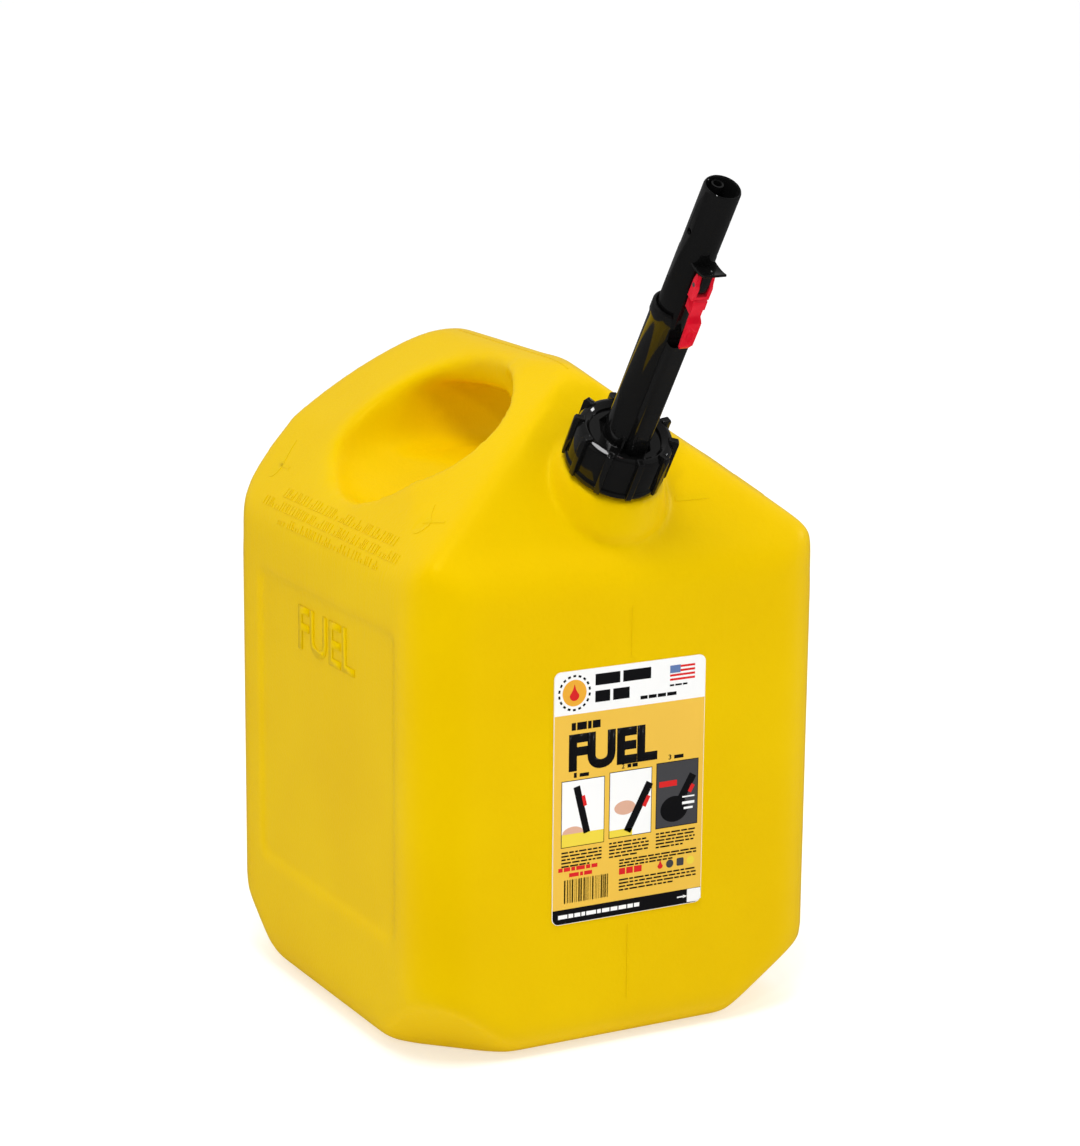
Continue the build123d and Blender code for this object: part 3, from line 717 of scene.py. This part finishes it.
# %% nozzle
nozzle_low, nozzle_top = span("nozzle")
spigot = 40
spigot_radius = 9.8
nozzle_radius = 10
nozzle_bore = 8.4
nozzle = turned("nozzle_shell", [
    (nozzle_bore, nozzle_low), (nozzle_radius, nozzle_low), (nozzle_radius, nozzle_top - spigot - 0.8),
    (spigot_radius, nozzle_top - spigot), (spigot_radius, nozzle_top - 1.4), (9.5, nozzle_top - 0.5),
    (9.1, nozzle_top), (8.9, nozzle_top), (nozzle_bore, nozzle_top - 0.8),
])
hook_height = 128.5
hook_reach = 20
lug_foot = 114.5
lug_front = 15.3
lug_half_width = 2.6
lug = side_slab("lug", [
    (8.9, lug_foot), (lug_front - 0.3, lug_foot), (lug_front, lug_foot + 2.5), (lug_front, hook_height - 1),
    (8.9, hook_height - 1),
], lug_half_width)
carve(nozzle, lug, "UNION")
hole_radius = 1.8
hole_height = 143
side_hole = rod("side_hole", hole_radius, 0, 14, 40)
hole_turn = rotation(180, "Z") @ rotation(90, "Y")
side_hole.data.transform(Matrix.Translation((0, 0, hole_height * MM)) @ hole_turn)
carve(nozzle, side_hole)
bore_again = rod("bore_again", nozzle_bore, nozzle_low - 1, nozzle_top - 1)
carve(nozzle, bore_again)
round_edges(nozzle, 0.22, 2)
print("nozzle from", nozzle_low, "to", nozzle_top)

# %% the hooked lip
bpy.ops.object.select_all(action="DESELECT")
bpy.ops.mesh.primitive_grid_add(x_subdivisions=16, y_subdivisions=10, size=1)
lip = named("hook_lip")
lip_half = 6.8
lip_root = 9.3
lip_thickness = 1.3 * MM
front_rise = 2.6
side_rise = 0.9
for vertex in lip.data.vertices:
    sideways = 2 * vertex.co.x
    forward = 0.5 - vertex.co.y
    back_edge = math.sqrt(lip_root ** 2 - (lip_half * sideways) ** 2)
    out = back_edge + (hook_reach - 0.3 - back_edge) * forward
    rise = front_rise * forward ** 2.2 + side_rise * sideways ** 2 * (1 - forward)
    vertex.co = (lip_half * sideways * MM, -out * MM, (hook_height - 0.5 + rise) * MM)
apply_modifier(lip, "SOLIDIFY", thickness=lip_thickness, offset=-1)
close_up(lip)
round_edges(lip, 0.3)
nozzle = joined("pour_nozzle", [nozzle, lip])
lay_on_axis(nozzle, "nozzle", "spout_plastic", "nozzle")
print("nozzle faces:", len(nozzle.data.polygons))

# %% [markdown]
# The latch is a small red lever. From the side it has a rounded foot, a thumb pad that stands proud, a
# waist, a knuckle and a fork that holds the black lug. The side outline is pushed out, the fork's arms are
# joined on, and an oval dish is pressed into the pad with a flattened ball.

# %% latch
latch_low, latch_high = span("safety_latch")
pad_front = reach("safety_latch", latch_low, latch_low + 15) - 0.42
pad_back = 16.35
latch_half_width = 3.9
fork_foot = 113.2
latch = side_slab("latch_body", [
    (pad_back, latch_low + 1.0), (16.9, latch_low + 0.2), (18.0, latch_low + 0.1),
    (pad_front - 0.4, latch_low + 1.2), (pad_front, latch_low + 3.0), (pad_front + 0.1, latch_low + 12),
    (pad_front, latch_low + 17.6), (17.7, latch_low + 19.0), (16.9, latch_low + 20.4),
    (16.9, latch_low + 24.4), (17.5, latch_low + 25.2), (17.3, latch_low + 30.2), (16.2, latch_low + 31.0),
    (16.2, fork_foot), (11.1, fork_foot), (11.1, latch_low + 23), (pad_back, latch_low + 22),
], latch_half_width)
edit(latch)
pick(latch, lambda v: v.co.z < (latch_low + 1.5) * MM)
bpy.ops.transform.resize(value=(0.62, 1, 1), center_override=(0, 0, 0))
pick(latch, lambda v: (latch_low + 20) * MM < v.co.z < (latch_low + 24.8) * MM)
bpy.ops.transform.resize(value=(0.9, 1, 1), center_override=(0, 0, 0))
done()
for side in (-1, 1):
    arm = side_slab("arm", [
        (11.2, 111), (16.1, 111), (16.1, 118.2), (15.2, 120.2), (14.2, latch_high), (12.0, latch_high),
        (11.2, 122),
    ], 1.0, side * 3.95)
    carve(latch, arm, "UNION")
seat = side_slab("seat", [(10, 113.4), (17.5, 113.4), (17.5, 116), (10, 116)], 2.85)
carve(latch, seat)
bpy.ops.object.select_all(action="DESELECT")
bpy.ops.mesh.primitive_uv_sphere_add(segments=40, ring_count=20, radius=MM)
dish = named("dish")
dish.data.transform(Matrix.Translation((0, -(pad_front + 0.9) * MM, (latch_low + 9) * MM))
                    @ Matrix.Diagonal((2.6, 1.7, 4.6, 1)))
carve(latch, dish)
latch.name = "thumb_latch"
round_edges(latch, 0.3)
lay_on_axis(latch, "latch", "latch_plastic", "safety_latch")
print("latch from", latch_low, "to", latch_high)

# %% [markdown]
# The return spring is hidden in the tube, where it shortens as the nozzle goes down. Here a copy of the
# coil is shaded smooth, moves with the spout and gets a mesh of its own.

# %% spring
spring = copy_of("return_spring", "coil_spring")
work_on(spring)
bpy.ops.object.shade_smooth_by_angle(angle=math.radians(60))
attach(spring, "spout")
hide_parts("return_spring")
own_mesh(spring)

# %% [markdown]
# ## The label
# The label is a printed film of two sheets: a base glued to the wall and a leaf that peels up from one
# corner. The sheets are model nodes. The print could be a picture, but a picture blurs close up and has to
# be stored, so each area of ink is a thin flat piece, joined by colour. Small print is drawn as bars,
# pictures as plain shapes.

# %% placing ink
leaf_low, leaf_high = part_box("label_leaf")
label_width = (leaf_high.x - leaf_low.x) / MM
label_height = (leaf_high.z - leaf_low.z) / MM
inks = {}


def print_ink(shade, piece, u, v, layer=1):
    """Put a flat piece on the label, its corner u, v millimetres from the label's lower left corner."""
    place = Matrix.Translation((leaf_low.x + u * MM, leaf_low.y - layer * 0.03 * MM, leaf_low.z + v * MM))
    piece.data.transform(place @ rotation(90, "X"))
    inks.setdefault(shade, []).append(piece)


def block(shade, u, v, width, height, layer=1):
    print_ink(shade, bar(shade, width, height), u, v, layer)


def small_print(shade, u, v, width, lines, height, pitch, seed, layer=2):
    """Lines of bars of uneven length, as long as words, from the top line down."""
    dice = random.Random(seed)
    for number in range(lines):
        at = 0.0
        end = width if number < lines - 1 else width * 0.7
        while at < end - 1:
            length = min(dice.uniform(1.6, 6.0), end - at)
            block(shade, u + at, v - number * pitch, length, height, layer)
            at += length + 0.7


def rounded(name, width, height, corner, top=True):
    """A flat rectangle with round corners, all four or only the two at its foot."""
    piece = bar(name, width, height)
    edit(piece)
    pick(piece, lambda v: top or v.co.y < height / 2 * MM)
    bpy.ops.mesh.bevel(offset=corner * MM, segments=6, affect="VERTICES")
    done()
    return piece


def flat_disc(name, radius, points=32, wide=1, tall=1):
    """A round or oval piece of ink: a thin rod pressed flat."""
    piece = rod(name, radius, 0, 0.01, points)
    piece.data.transform(Matrix.Diagonal((wide, tall, 0, 1)))
    close_up(piece)
    return piece

# %% fields, heading and footer
corner = 4
footer = 8.4
header = 23.6
print_ink("amber", bar("amber", label_width - 0.5, label_height - footer - header), 0.25, footer)
print_ink("black", rounded("footer", label_width - 0.5, footer - 0.25, corner - 0.3, top=False), 0.25, 0.25)
emblem_u = 12
emblem_v = 127
tick_count = 18
print_ink("orange", flat_disc("emblem", 7.2, 48), emblem_u, emblem_v)
print_ink("red", drop("emblem_drop", 9), emblem_u, emblem_v - 1.4, 2)
for tick_number in range(tick_count):
    tick = bar("tick", 1.7, 1.2)
    tick.data.transform(Matrix.Rotation(2 * math.pi * tick_number / tick_count, 4, "Z")
                        @ Matrix.Translation((-0.85 * MM, 8.6 * MM, 0)))
    print_ink("black", tick, emblem_u, emblem_v)
for start, lengths in ((129.6, (15, 17)), (120.4, (9, 10))):
    at = 24.5
    for length in lengths:
        block("black", at, start, length, 6.2)
        at += length + 1.8
stripes_u = 70
stripes_width = 15.5
block("blue", stripes_u, 130.8, 6.4, 4.2, 2)
for stripe in range(4):
    block("red", stripes_u, 126.6 + 2.3 * stripe, stripes_width, 1.2)
small_print("black", stripes_u, 123.6, stripes_width, 1, 1.0, 1, 3)
small_print("black", 52, 118.6, 33.5, 1, 1.9, 1, 5)
print_ink("black", words("heading", "FUEL", 54, 20.5, 0.05), 9.0, 84.0, 2)
small_print("black", 10.5, 106.6, 25, 1, 4.2, 1, 8)
print("label in mm:", round(label_width, 1), round(label_height, 1))

# %% the three small pictures
def spout_sign(u, v, lean, length, width, layer=4):
    """A dark spout with a red latch, standing in a picture."""
    body = bar("sign", width, length)
    body.data.transform(rotation(lean, "Z"))
    print_ink("black", body, u, v, layer)
    latch_sign = bar("sign", width * 0.5, length * 0.22)
    latch_sign.data.transform(rotation(lean, "Z")
                              @ Matrix.Translation((width * 0.9 * MM, length * 0.55 * MM, 0)))
    print_ink("red", latch_sign, u, v, layer + 1)


picture_low = 43
picture_height = 36
picture_width = 25.4
for number, u in enumerate((5.2, 34.2, 63.0)):
    low = picture_low + number * 1.2
    block("black", u - 0.4, low - 0.4, picture_width + 0.8, picture_height + 0.8, 2)
    block("white" if number < 2 else "dark", u, low, picture_width, picture_height, 3)
    caption = words("caption", str(number + 1), 1.7, 2.8, 0.02)
    print_ink("black", caption, u + 7, low + picture_height + 1.6, 2)
    small_print("black", u + 10.5, low + picture_height + 1.8, 9, 1, 2.0, 1, 20 + number)
    small_print("black", u, low - 3.6, picture_width - 1, 5, 0.9, 1.9, 30 + number)
for u, width in ((5.2, 25.4), (34.2, 14)):
    block("can", u, picture_low + (1.2 if u > 6 else 0), width, 7 if u < 6 else 4, 4)
spout_sign(18.5, 49, 14, 27, 4.0)
spout_sign(43, 47.5, -28, 29, 4.6)
for u, v in ((12.0, 50.0), (43.5, 60.0)):
    print_ink("skin", flat_disc("hand", 5.2, 32, 1.25, 0.75), u, v, 3.5)
print_ink("black", flat_disc("filler", 8.5, 40, 1, 0.85), 74, 55, 4)
block("red", 64.5, 68, 11, 3.2, 4)
spout_sign(73, 56, -30, 21, 4.6, 5)
for u, v, width, height in ((79, 60.6, 7.6, 0.8), (79, 56.8, 7.6, 1.5), (80, 54.0, 5.6, 1.2)):
    block("white", u, v, width, height, 6)
print("picture in mm:", picture_width, picture_height)

# %% the lower part: bars of print, barcode, four signs, footer arrow
small_print("red", 3.4, 29.4, 34, 1, 2.2, 3.4, 51)
small_print("red", 10, 26.0, 20, 1, 2.2, 3.4, 52)
dice = random.Random(9)
at = 7.0
while at < 34:
    thick = dice.choice((0.35, 0.35, 0.6, 0.9))
    block("black", at, 11.6, thick, 13)
    at += thick + dice.choice((0.4, 0.6, 0.9))
small_print("black", 40.5, 30.4, 48, 3, 0.9, 1.7, 60)
small_print("red", 40.5, 22.8, 20, 1, 3.6, 1, 61)
print_ink("red", drop("sign", 5.2), 66, 24, 2)
print_ink("dark", flat_disc("ring", 2.3), 72, 24.4, 2)
print_ink("dark", rounded("tile", 4.4, 4.4, 0.8), 76.3, 22.4, 2)
print_ink("can", flat_disc("disc", 2.3), 85, 24.6, 2)
small_print("black", 40.5, 19.4, 48, 4, 0.9, 1.9, 62)
small_print("white", 3.6, 3.2, 72, 1, 2.2, 1, 70)
block("white", 77, 4.0, 4.2, 0.8, 2)
arrow = drop("arrow", 3.4, 3)
arrow.data.transform(rotation(-90, "Z"))
print_ink("white", arrow, 81.2, 4.4, 2)
print("pieces of ink:", sum(len(pieces) for pieces in inks.values()))

# %% join the ink by colour and give it thickness
ink_thickness = 0.02 * MM
prints = []
for shade, pieces in inks.items():
    print_piece = joined(f"label_ink_{shade}", pieces)
    apply_modifier(print_piece, "SOLIDIFY", thickness=ink_thickness, offset=-1)
    prints.append((shade, print_piece))
print("inks:", [shade for shade, _ in prints])

# %% [markdown]
# The lower right corner of the leaf has started to lift. It is a small sheet of its own: a grid whose
# points are lifted further the nearer they are to the corner, with the tip cut off and the thickness of the
# film added.

# %% lifted corner
bpy.ops.object.select_all(action="DESELECT")
bpy.ops.mesh.primitive_grid_add(x_subdivisions=10, y_subdivisions=10, size=1)
peel = named("label_peel")
peel_side = 8.2
peel_radius = 3.2
film_thickness = 0.12 * MM
for vertex in peel.data.vertices:
    u = (vertex.co.x + 0.5) * peel_side
    v = (vertex.co.y + 0.5) * peel_side * 0.9
    roll_on = max(0.0, (u - v) * 0.35 + 1.2)
    lift = peel_radius * (1 - math.cos(min(roll_on / peel_radius, 1.2)))
    vertex.co = (leaf_high.x - (peel_side + 0.6 - u) * MM, leaf_low.y - (0.12 + 0.5 * lift) * MM,
                 leaf_low.z + (0.8 + v) * MM)
edit(peel)
pick(peel, lambda v: (v.co.x - leaf_high.x + 5 * MM) + (leaf_low.z + 5 * MM - v.co.z) > 7.6 * MM)
bpy.ops.mesh.delete(type="VERT")
done()
apply_modifier(peel, "SOLIDIFY", thickness=film_thickness)
close_up(peel)
work_on(peel)
bpy.ops.object.shade_smooth()
print("faces of the lifted corner:", len(peel.data.polygons))

# %% [markdown]
# ## Finishes
# Several finishes share the same effects, so each effect is a node group with named sockets: a fine grain,
# a slow drift of tone, streaks drawn along one direction and wear where an edge stands out. The groups give
# heights and masks only, and the shader with its plain numbers stays in each material.

# %% helpers for node trees
def group(name, inputs, outputs):
    """An empty node group with float sockets. Returns the group and its two end nodes."""
    tree = bpy.data.node_groups.new(name, "ShaderNodeTree")
    for label, value in inputs.items():
        socket = tree.interface.new_socket(label, in_out="INPUT", socket_type="NodeSocketFloat")
        socket.default_value = value
    for label in outputs:
        tree.interface.new_socket(label, in_out="OUTPUT", socket_type="NodeSocketFloat")
    return tree, tree.nodes.new("NodeGroupInput"), tree.nodes.new("NodeGroupOutput")


def node(tree, kind, **settings):
    made = tree.nodes.new(kind)
    for key, value in settings.items():
        setattr(made, key, value)
    return made


def noise(tree, vector, scale, detail=3.0, roughness=0.55):
    made = node(tree, "ShaderNodeTexNoise")
    made.inputs["Detail"].default_value = detail
    made.inputs["Roughness"].default_value = roughness
    tree.links.new(vector, made.inputs["Vector"])
    if isinstance(scale, (int, float)):
        made.inputs["Scale"].default_value = scale
    else:
        tree.links.new(scale, made.inputs["Scale"])
    return made.outputs["Fac"]


def spread(tree, value, low, high, to_low=0.0, to_high=1.0, kind="LINEAR"):
    """Stretch a range of values over another, which is 0 to 1 unless it is given."""
    made = node(tree, "ShaderNodeMapRange", interpolation_type=kind)
    for label, number in (("From Min", low), ("From Max", high), ("To Min", to_low), ("To Max", to_high)):
        made.inputs[label].default_value = number
    tree.links.new(value, made.inputs["Value"])
    return made.outputs["Result"]


def times(tree, first, second):
    made = node(tree, "ShaderNodeMath", operation="MULTIPLY")
    tree.links.new(first, made.inputs[0])
    tree.links.new(second, made.inputs[1])
    return made.outputs[0]

# %% the shared effects
surface_grain, ends_in, ends_out = group("surface grain", {"Grain Scale": 900.0, "Tone Scale": 9.0},
                                         ("Grain", "Tone", "Scuff"))
place = node(surface_grain, "ShaderNodeTexCoord").outputs["Object"]
fine = noise(surface_grain, place, ends_in.outputs["Grain Scale"], 2.0)
surface_grain.links.new(fine, ends_out.inputs["Grain"])
drift = noise(surface_grain, place, ends_in.outputs["Tone Scale"], 2.0)
surface_grain.links.new(spread(surface_grain, drift, 0.35, 0.65), ends_out.inputs["Tone"])
scuff = noise(surface_grain, place, 55.0, 8.0, 0.75)
surface_grain.links.new(spread(surface_grain, scuff, 0.6, 0.76), ends_out.inputs["Scuff"])

drawn_streaks, ends_in, ends_out = group("drawn streaks", {"Across": 260.0, "Along": 9.0}, ("Streak",))
place = node(drawn_streaks, "ShaderNodeTexCoord").outputs["Object"]
stretch = node(drawn_streaks, "ShaderNodeVectorMath", operation="MULTIPLY")
sizes = node(drawn_streaks, "ShaderNodeCombineXYZ")
for axis_name, source in (("X", "Across"), ("Y", "Across"), ("Z", "Along")):
    drawn_streaks.links.new(ends_in.outputs[source], sizes.inputs[axis_name])
drawn_streaks.links.new(place, stretch.inputs[0])
drawn_streaks.links.new(sizes.outputs[0], stretch.inputs[1])
drawn_streaks.links.new(noise(drawn_streaks, stretch.outputs[0], 1.0, 2.0), ends_out.inputs["Streak"])

edge_wear, ends_in, ends_out = group("edge wear", {"Low": 0.52, "High": 0.6}, ("Mask",))
pointiness = node(edge_wear, "ShaderNodeNewGeometry").outputs["Pointiness"]
edge = node(edge_wear, "ShaderNodeMapRange")
edge_wear.links.new(pointiness, edge.inputs["Value"])
edge_wear.links.new(ends_in.outputs["Low"], edge.inputs["From Min"])
edge_wear.links.new(ends_in.outputs["High"], edge.inputs["From Max"])
broken = noise(edge_wear, node(edge_wear, "ShaderNodeTexCoord").outputs["Object"], 240.0, 4.0)
edge_wear.links.new(times(edge_wear, edge.outputs["Result"], broken), ends_out.inputs["Mask"])
print("shared effects:", [surface_grain.name, drawn_streaks.name, edge_wear.name])

# %% [markdown]
# Every finish here is one Principled shader. Its colour drifts a little between two tones, the scuffs
# change the roughness, and the grain stands in a bump. What differs is the numbers, so one function makes
# them all.

# %% a finish
def use(tree, shared, **values):
    made = node(tree, "ShaderNodeGroup", node_tree=shared)
    for key, value in values.items():
        made.inputs[key.replace("_", " ")].default_value = value
    return made


def mix_colour(tree, mask, first, second):
    made = node(tree, "ShaderNodeMix", data_type="RGBA")
    tree.links.new(mask, made.inputs["Factor"])
    for index, colour in ((6, first), (7, second)):
        if isinstance(colour, bpy.types.NodeSocket):
            tree.links.new(colour, made.inputs[index])
        else:
            made.inputs[index].default_value = (*colour, 1)
    return made.outputs[2]


def finish(name, tones, roughness, grain_size, grain_depth, worn=None, metal=0.0, gloss=0.5, tint=(1, 1, 1)):
    """A material: two tones, a range of roughness, and grain with a scale and a depth in millimetres."""
    material = bpy.data.materials.new(name)
    material.use_nodes = True
    tree = material.node_tree
    shader = tree.nodes["Principled BSDF"]
    shader.inputs["Metallic"].default_value = metal
    shader.inputs["Specular IOR Level"].default_value = gloss
    shader.inputs["Specular Tint"].default_value = (*tint, 1)
    marks_here = use(tree, surface_grain, Grain_Scale=grain_size)
    colour = mix_colour(tree, marks_here.outputs["Tone"], *tones)
    if worn:
        edges = use(tree, edge_wear)
        colour = mix_colour(tree, edges.outputs["Mask"], colour, worn)
    tree.links.new(colour, shader.inputs["Base Color"])
    rough = spread(tree, marks_here.outputs["Scuff"], 0.0, 1.0, *roughness)
    tree.links.new(rough, shader.inputs["Roughness"])
    bump = node(tree, "ShaderNodeBump")
    bump.inputs["Distance"].default_value = grain_depth * MM
    bump.inputs["Strength"].default_value = 1.0
    tree.links.new(marks_here.outputs["Grain"], bump.inputs["Height"])
    tree.links.new(bump.outputs["Normal"], shader.inputs["Normal"])
    return material


def paint(piece, material):
    """Give the whole piece one material."""
    piece.data.materials.clear()
    piece.data.materials.append(material)

# %% [markdown]
# The can's plastic is satin, with a fine leathery stipple from the mould and faint upright streaks where
# the hot plastic was drawn over the front shoulder. A little light enters it and comes out again nearby,
# which its subsurface numbers give.

# %% can plastic
can_plastic = finish("can plastic", ((0.80, 0.53, 0.0), (0.77, 0.495, 0.0)), (0.34, 0.46), 640.0, 0.13,
                     gloss=0.16, tint=(1.0, 0.85, 0.04))
tree = can_plastic.node_tree
shader = tree.nodes["Principled BSDF"]
shader.inputs["Subsurface Weight"].default_value = 0.08
shader.inputs["Subsurface Radius"].default_value = (1.0, 0.75, 0.1)
shader.inputs["Subsurface Scale"].default_value = 0.004
streaks = use(tree, drawn_streaks)
height_mask = node(tree, "ShaderNodeSeparateXYZ")
tree.links.new(node(tree, "ShaderNodeTexCoord").outputs["Object"], height_mask.inputs[0])
near_top = spread(tree, height_mask.outputs["Z"], 0.14, 0.25)
streaks_near_top = times(tree, streaks.outputs["Streak"], near_top)
first_bump = next(n for n in tree.nodes if n.bl_idname == "ShaderNodeBump")
streak_bump = node(tree, "ShaderNodeBump")
streak_bump.inputs["Distance"].default_value = 0.12 * MM
tree.links.new(streaks_near_top, streak_bump.inputs["Height"])
tree.links.new(first_bump.outputs["Normal"], streak_bump.inputs["Normal"])
tree.links.new(streak_bump.outputs["Normal"], shader.inputs["Normal"])
print("nodes in the can plastic:", len(tree.nodes))

# %% [markdown]
# The spout is hard black plastic with a polish, the latch is the same sort in red with a softer skin, and
# the label is a smooth film. Rubber is dull and steel is a metal. Each ink is a material of its own, so
# that the print stays sharp however near the camera comes.

# %% the other finishes
spout_plastic = finish("spout plastic", ((0.003, 0.003, 0.003), (0.005, 0.005, 0.005)), (0.06, 0.14),
                       1500.0, 0.004, worn=(0.010, 0.010, 0.010), gloss=0.4)
latch_plastic = finish("latch plastic", ((0.66, 0.004, 0.02), (0.58, 0.003, 0.015)), (0.22, 0.34),
                       1300.0, 0.012, worn=(0.75, 0.03, 0.05), gloss=0.14, tint=(1.0, 0.4, 0.45))
label_film = finish("label film", ((0.93, 0.93, 0.92), (0.90, 0.90, 0.89)), (0.22, 0.32), 500.0, 0.006,
                    gloss=0.2)
rubber = finish("seal rubber", ((0.02, 0.02, 0.02), (0.03, 0.03, 0.03)), (0.7, 0.85), 1200.0, 0.02)
steel = finish("drawn steel", ((0.62, 0.61, 0.6), (0.55, 0.54, 0.53)), (0.25, 0.4), 1800.0, 0.004, metal=1.0)

# %% the inks
ink_tones = {
    "amber": (0.86, 0.53, 0.07), "black": (0.006, 0.006, 0.007), "orange": (0.86, 0.42, 0.04),
    "red": (0.70, 0.02, 0.02), "blue": (0.12, 0.20, 0.42), "white": (0.94, 0.94, 0.93),
    "dark": (0.06, 0.06, 0.065), "can": (0.85, 0.66, 0.06), "skin": (0.72, 0.42, 0.30),
}
for shade, print_piece in prints:
    tone = ink_tones[shade]
    tones = (tone, tuple(0.94 * part for part in tone))
    paint(print_piece, finish(f"ink {shade}", tones, (0.24, 0.34), 500.0, 0.006, gloss=0.1))
    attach(print_piece, "can")

# %% painting the pieces
paint(peel, label_film)
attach(peel, "can")
for piece in [skin, neck] + marks:
    paint(piece, can_plastic)
    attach(piece, "can")
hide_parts("tank_body")
for piece in (collar, tube, nozzle):
    paint(piece, spout_plastic)
paint(latch, latch_plastic)
paint(spring, steel)
finishes = {"spout_plastic": spout_plastic, "latch_plastic": latch_plastic, "label_film": label_film,
            "seal_rubber": rubber, "steel": steel, "can_plastic": can_plastic}
for part in frame["record"]["subparts"]:
    shown = frame["nodes"][part["node"]]
    if not shown.hide_render:
        paint(shown, finishes[part["material_slot"]])
print("finishes:", len(bpy.data.materials))

# %% [markdown]
# ## Floor and light
# The can stands on a plain pale floor under even studio light: a bright surround, a broad soft lamp overhead
# that draws the highlight along the shoulder, a small one in front for the spout, and another at the right
# that rims it. In a studio, dark cards beside the camera keep black gloss black. Here the Light Path node does
# their work: to a glossy reflection the floor and the surround look dimmer than to the eye.

# %% floor and light
bpy.ops.object.select_all(action="DESELECT")
bpy.ops.mesh.primitive_plane_add(size=60, location=(0, 0, cad_low.z - 0.0002))
floor = named("floor")
floor_paint = bpy.data.materials.new("floor")
floor_paint.use_nodes = True
floor_shader = floor_paint.node_tree.nodes["Principled BSDF"]
floor_shader.inputs["Roughness"].default_value = 0.8
floor_shader.inputs["Specular IOR Level"].default_value = 0.1
floor_shader.inputs["Emission Color"].default_value = (1, 1, 1, 1)
floor_glow = 0.52
floor_tree = floor_paint.node_tree
in_gloss = node(floor_tree, "ShaderNodeLightPath").outputs["Is Glossy Ray"]
pale = mix_colour(floor_tree, in_gloss, (0.62, 0.62, 0.62), (0.10, 0.10, 0.10))
floor_tree.links.new(pale, floor_shader.inputs["Base Color"])
glow = spread(floor_tree, in_gloss, 0.0, 1.0, floor_glow, 0.0)
floor_tree.links.new(glow, floor_shader.inputs["Emission Strength"])
paint(floor, floor_paint)
print("floor height in mm:", round(floor.data.vertices[0].co.z / MM + floor.location.z / MM, 1))

# %% lamps
lit_point = Vector((0, 0, 0.2))


def soft_lamp(name, place, size, power):
    """A square lamp that faces the middle of the can."""
    bpy.ops.object.light_add(type="AREA", location=place)
    lamp = bpy.context.object
    lamp.name = name
    lamp.data.size = size
    lamp.data.energy = power
    lamp.rotation_euler = (lit_point - Vector(place)).to_track_quat("-Z", "Y").to_euler()


soft_lamp("overhead", (-0.45, -0.75, 2.1), 0.7, 20)
soft_lamp("front strip", (-1.15, -1.75, 1.5), 0.22, 7)
soft_lamp("right rim", (1.9, -0.6, 1.1), 0.3, 5)

# %% [markdown]
# The surround is brightest behind the can and falls off in front of it, so that the gloss parts reflect a
# soft gradient. Its strength follows a fixed direction, so it does not move when the camera does.

# %% surround
surround = bpy.data.worlds.new("surround")
surround.use_nodes = True
sky = surround.node_tree
background = sky.nodes["Background"]
looking = node(sky, "ShaderNodeTexCoord").outputs["Generated"]
front_side = node(sky, "ShaderNodeVectorMath", operation="DOT_PRODUCT")
front_side.inputs[1].default_value = (eye - looked_at).normalized()
sky.links.new(looking, front_side.inputs[0])
falling = spread(sky, front_side.outputs["Value"], 0.25, 0.95, 1.0, 0.12, "SMOOTHSTEP")
dimmer = spread(sky, node(sky, "ShaderNodeLightPath").outputs["Is Glossy Ray"], 0.0, 1.0, 1.0, 0.25)
sky.links.new(times(sky, falling, dimmer), background.inputs["Strength"])
background.inputs["Color"].default_value = (1, 1, 1, 1)
bpy.context.scene.world = surround
bpy.context.scene.view_settings.view_transform = "Standard"
print("surround:", bpy.context.scene.world.name)
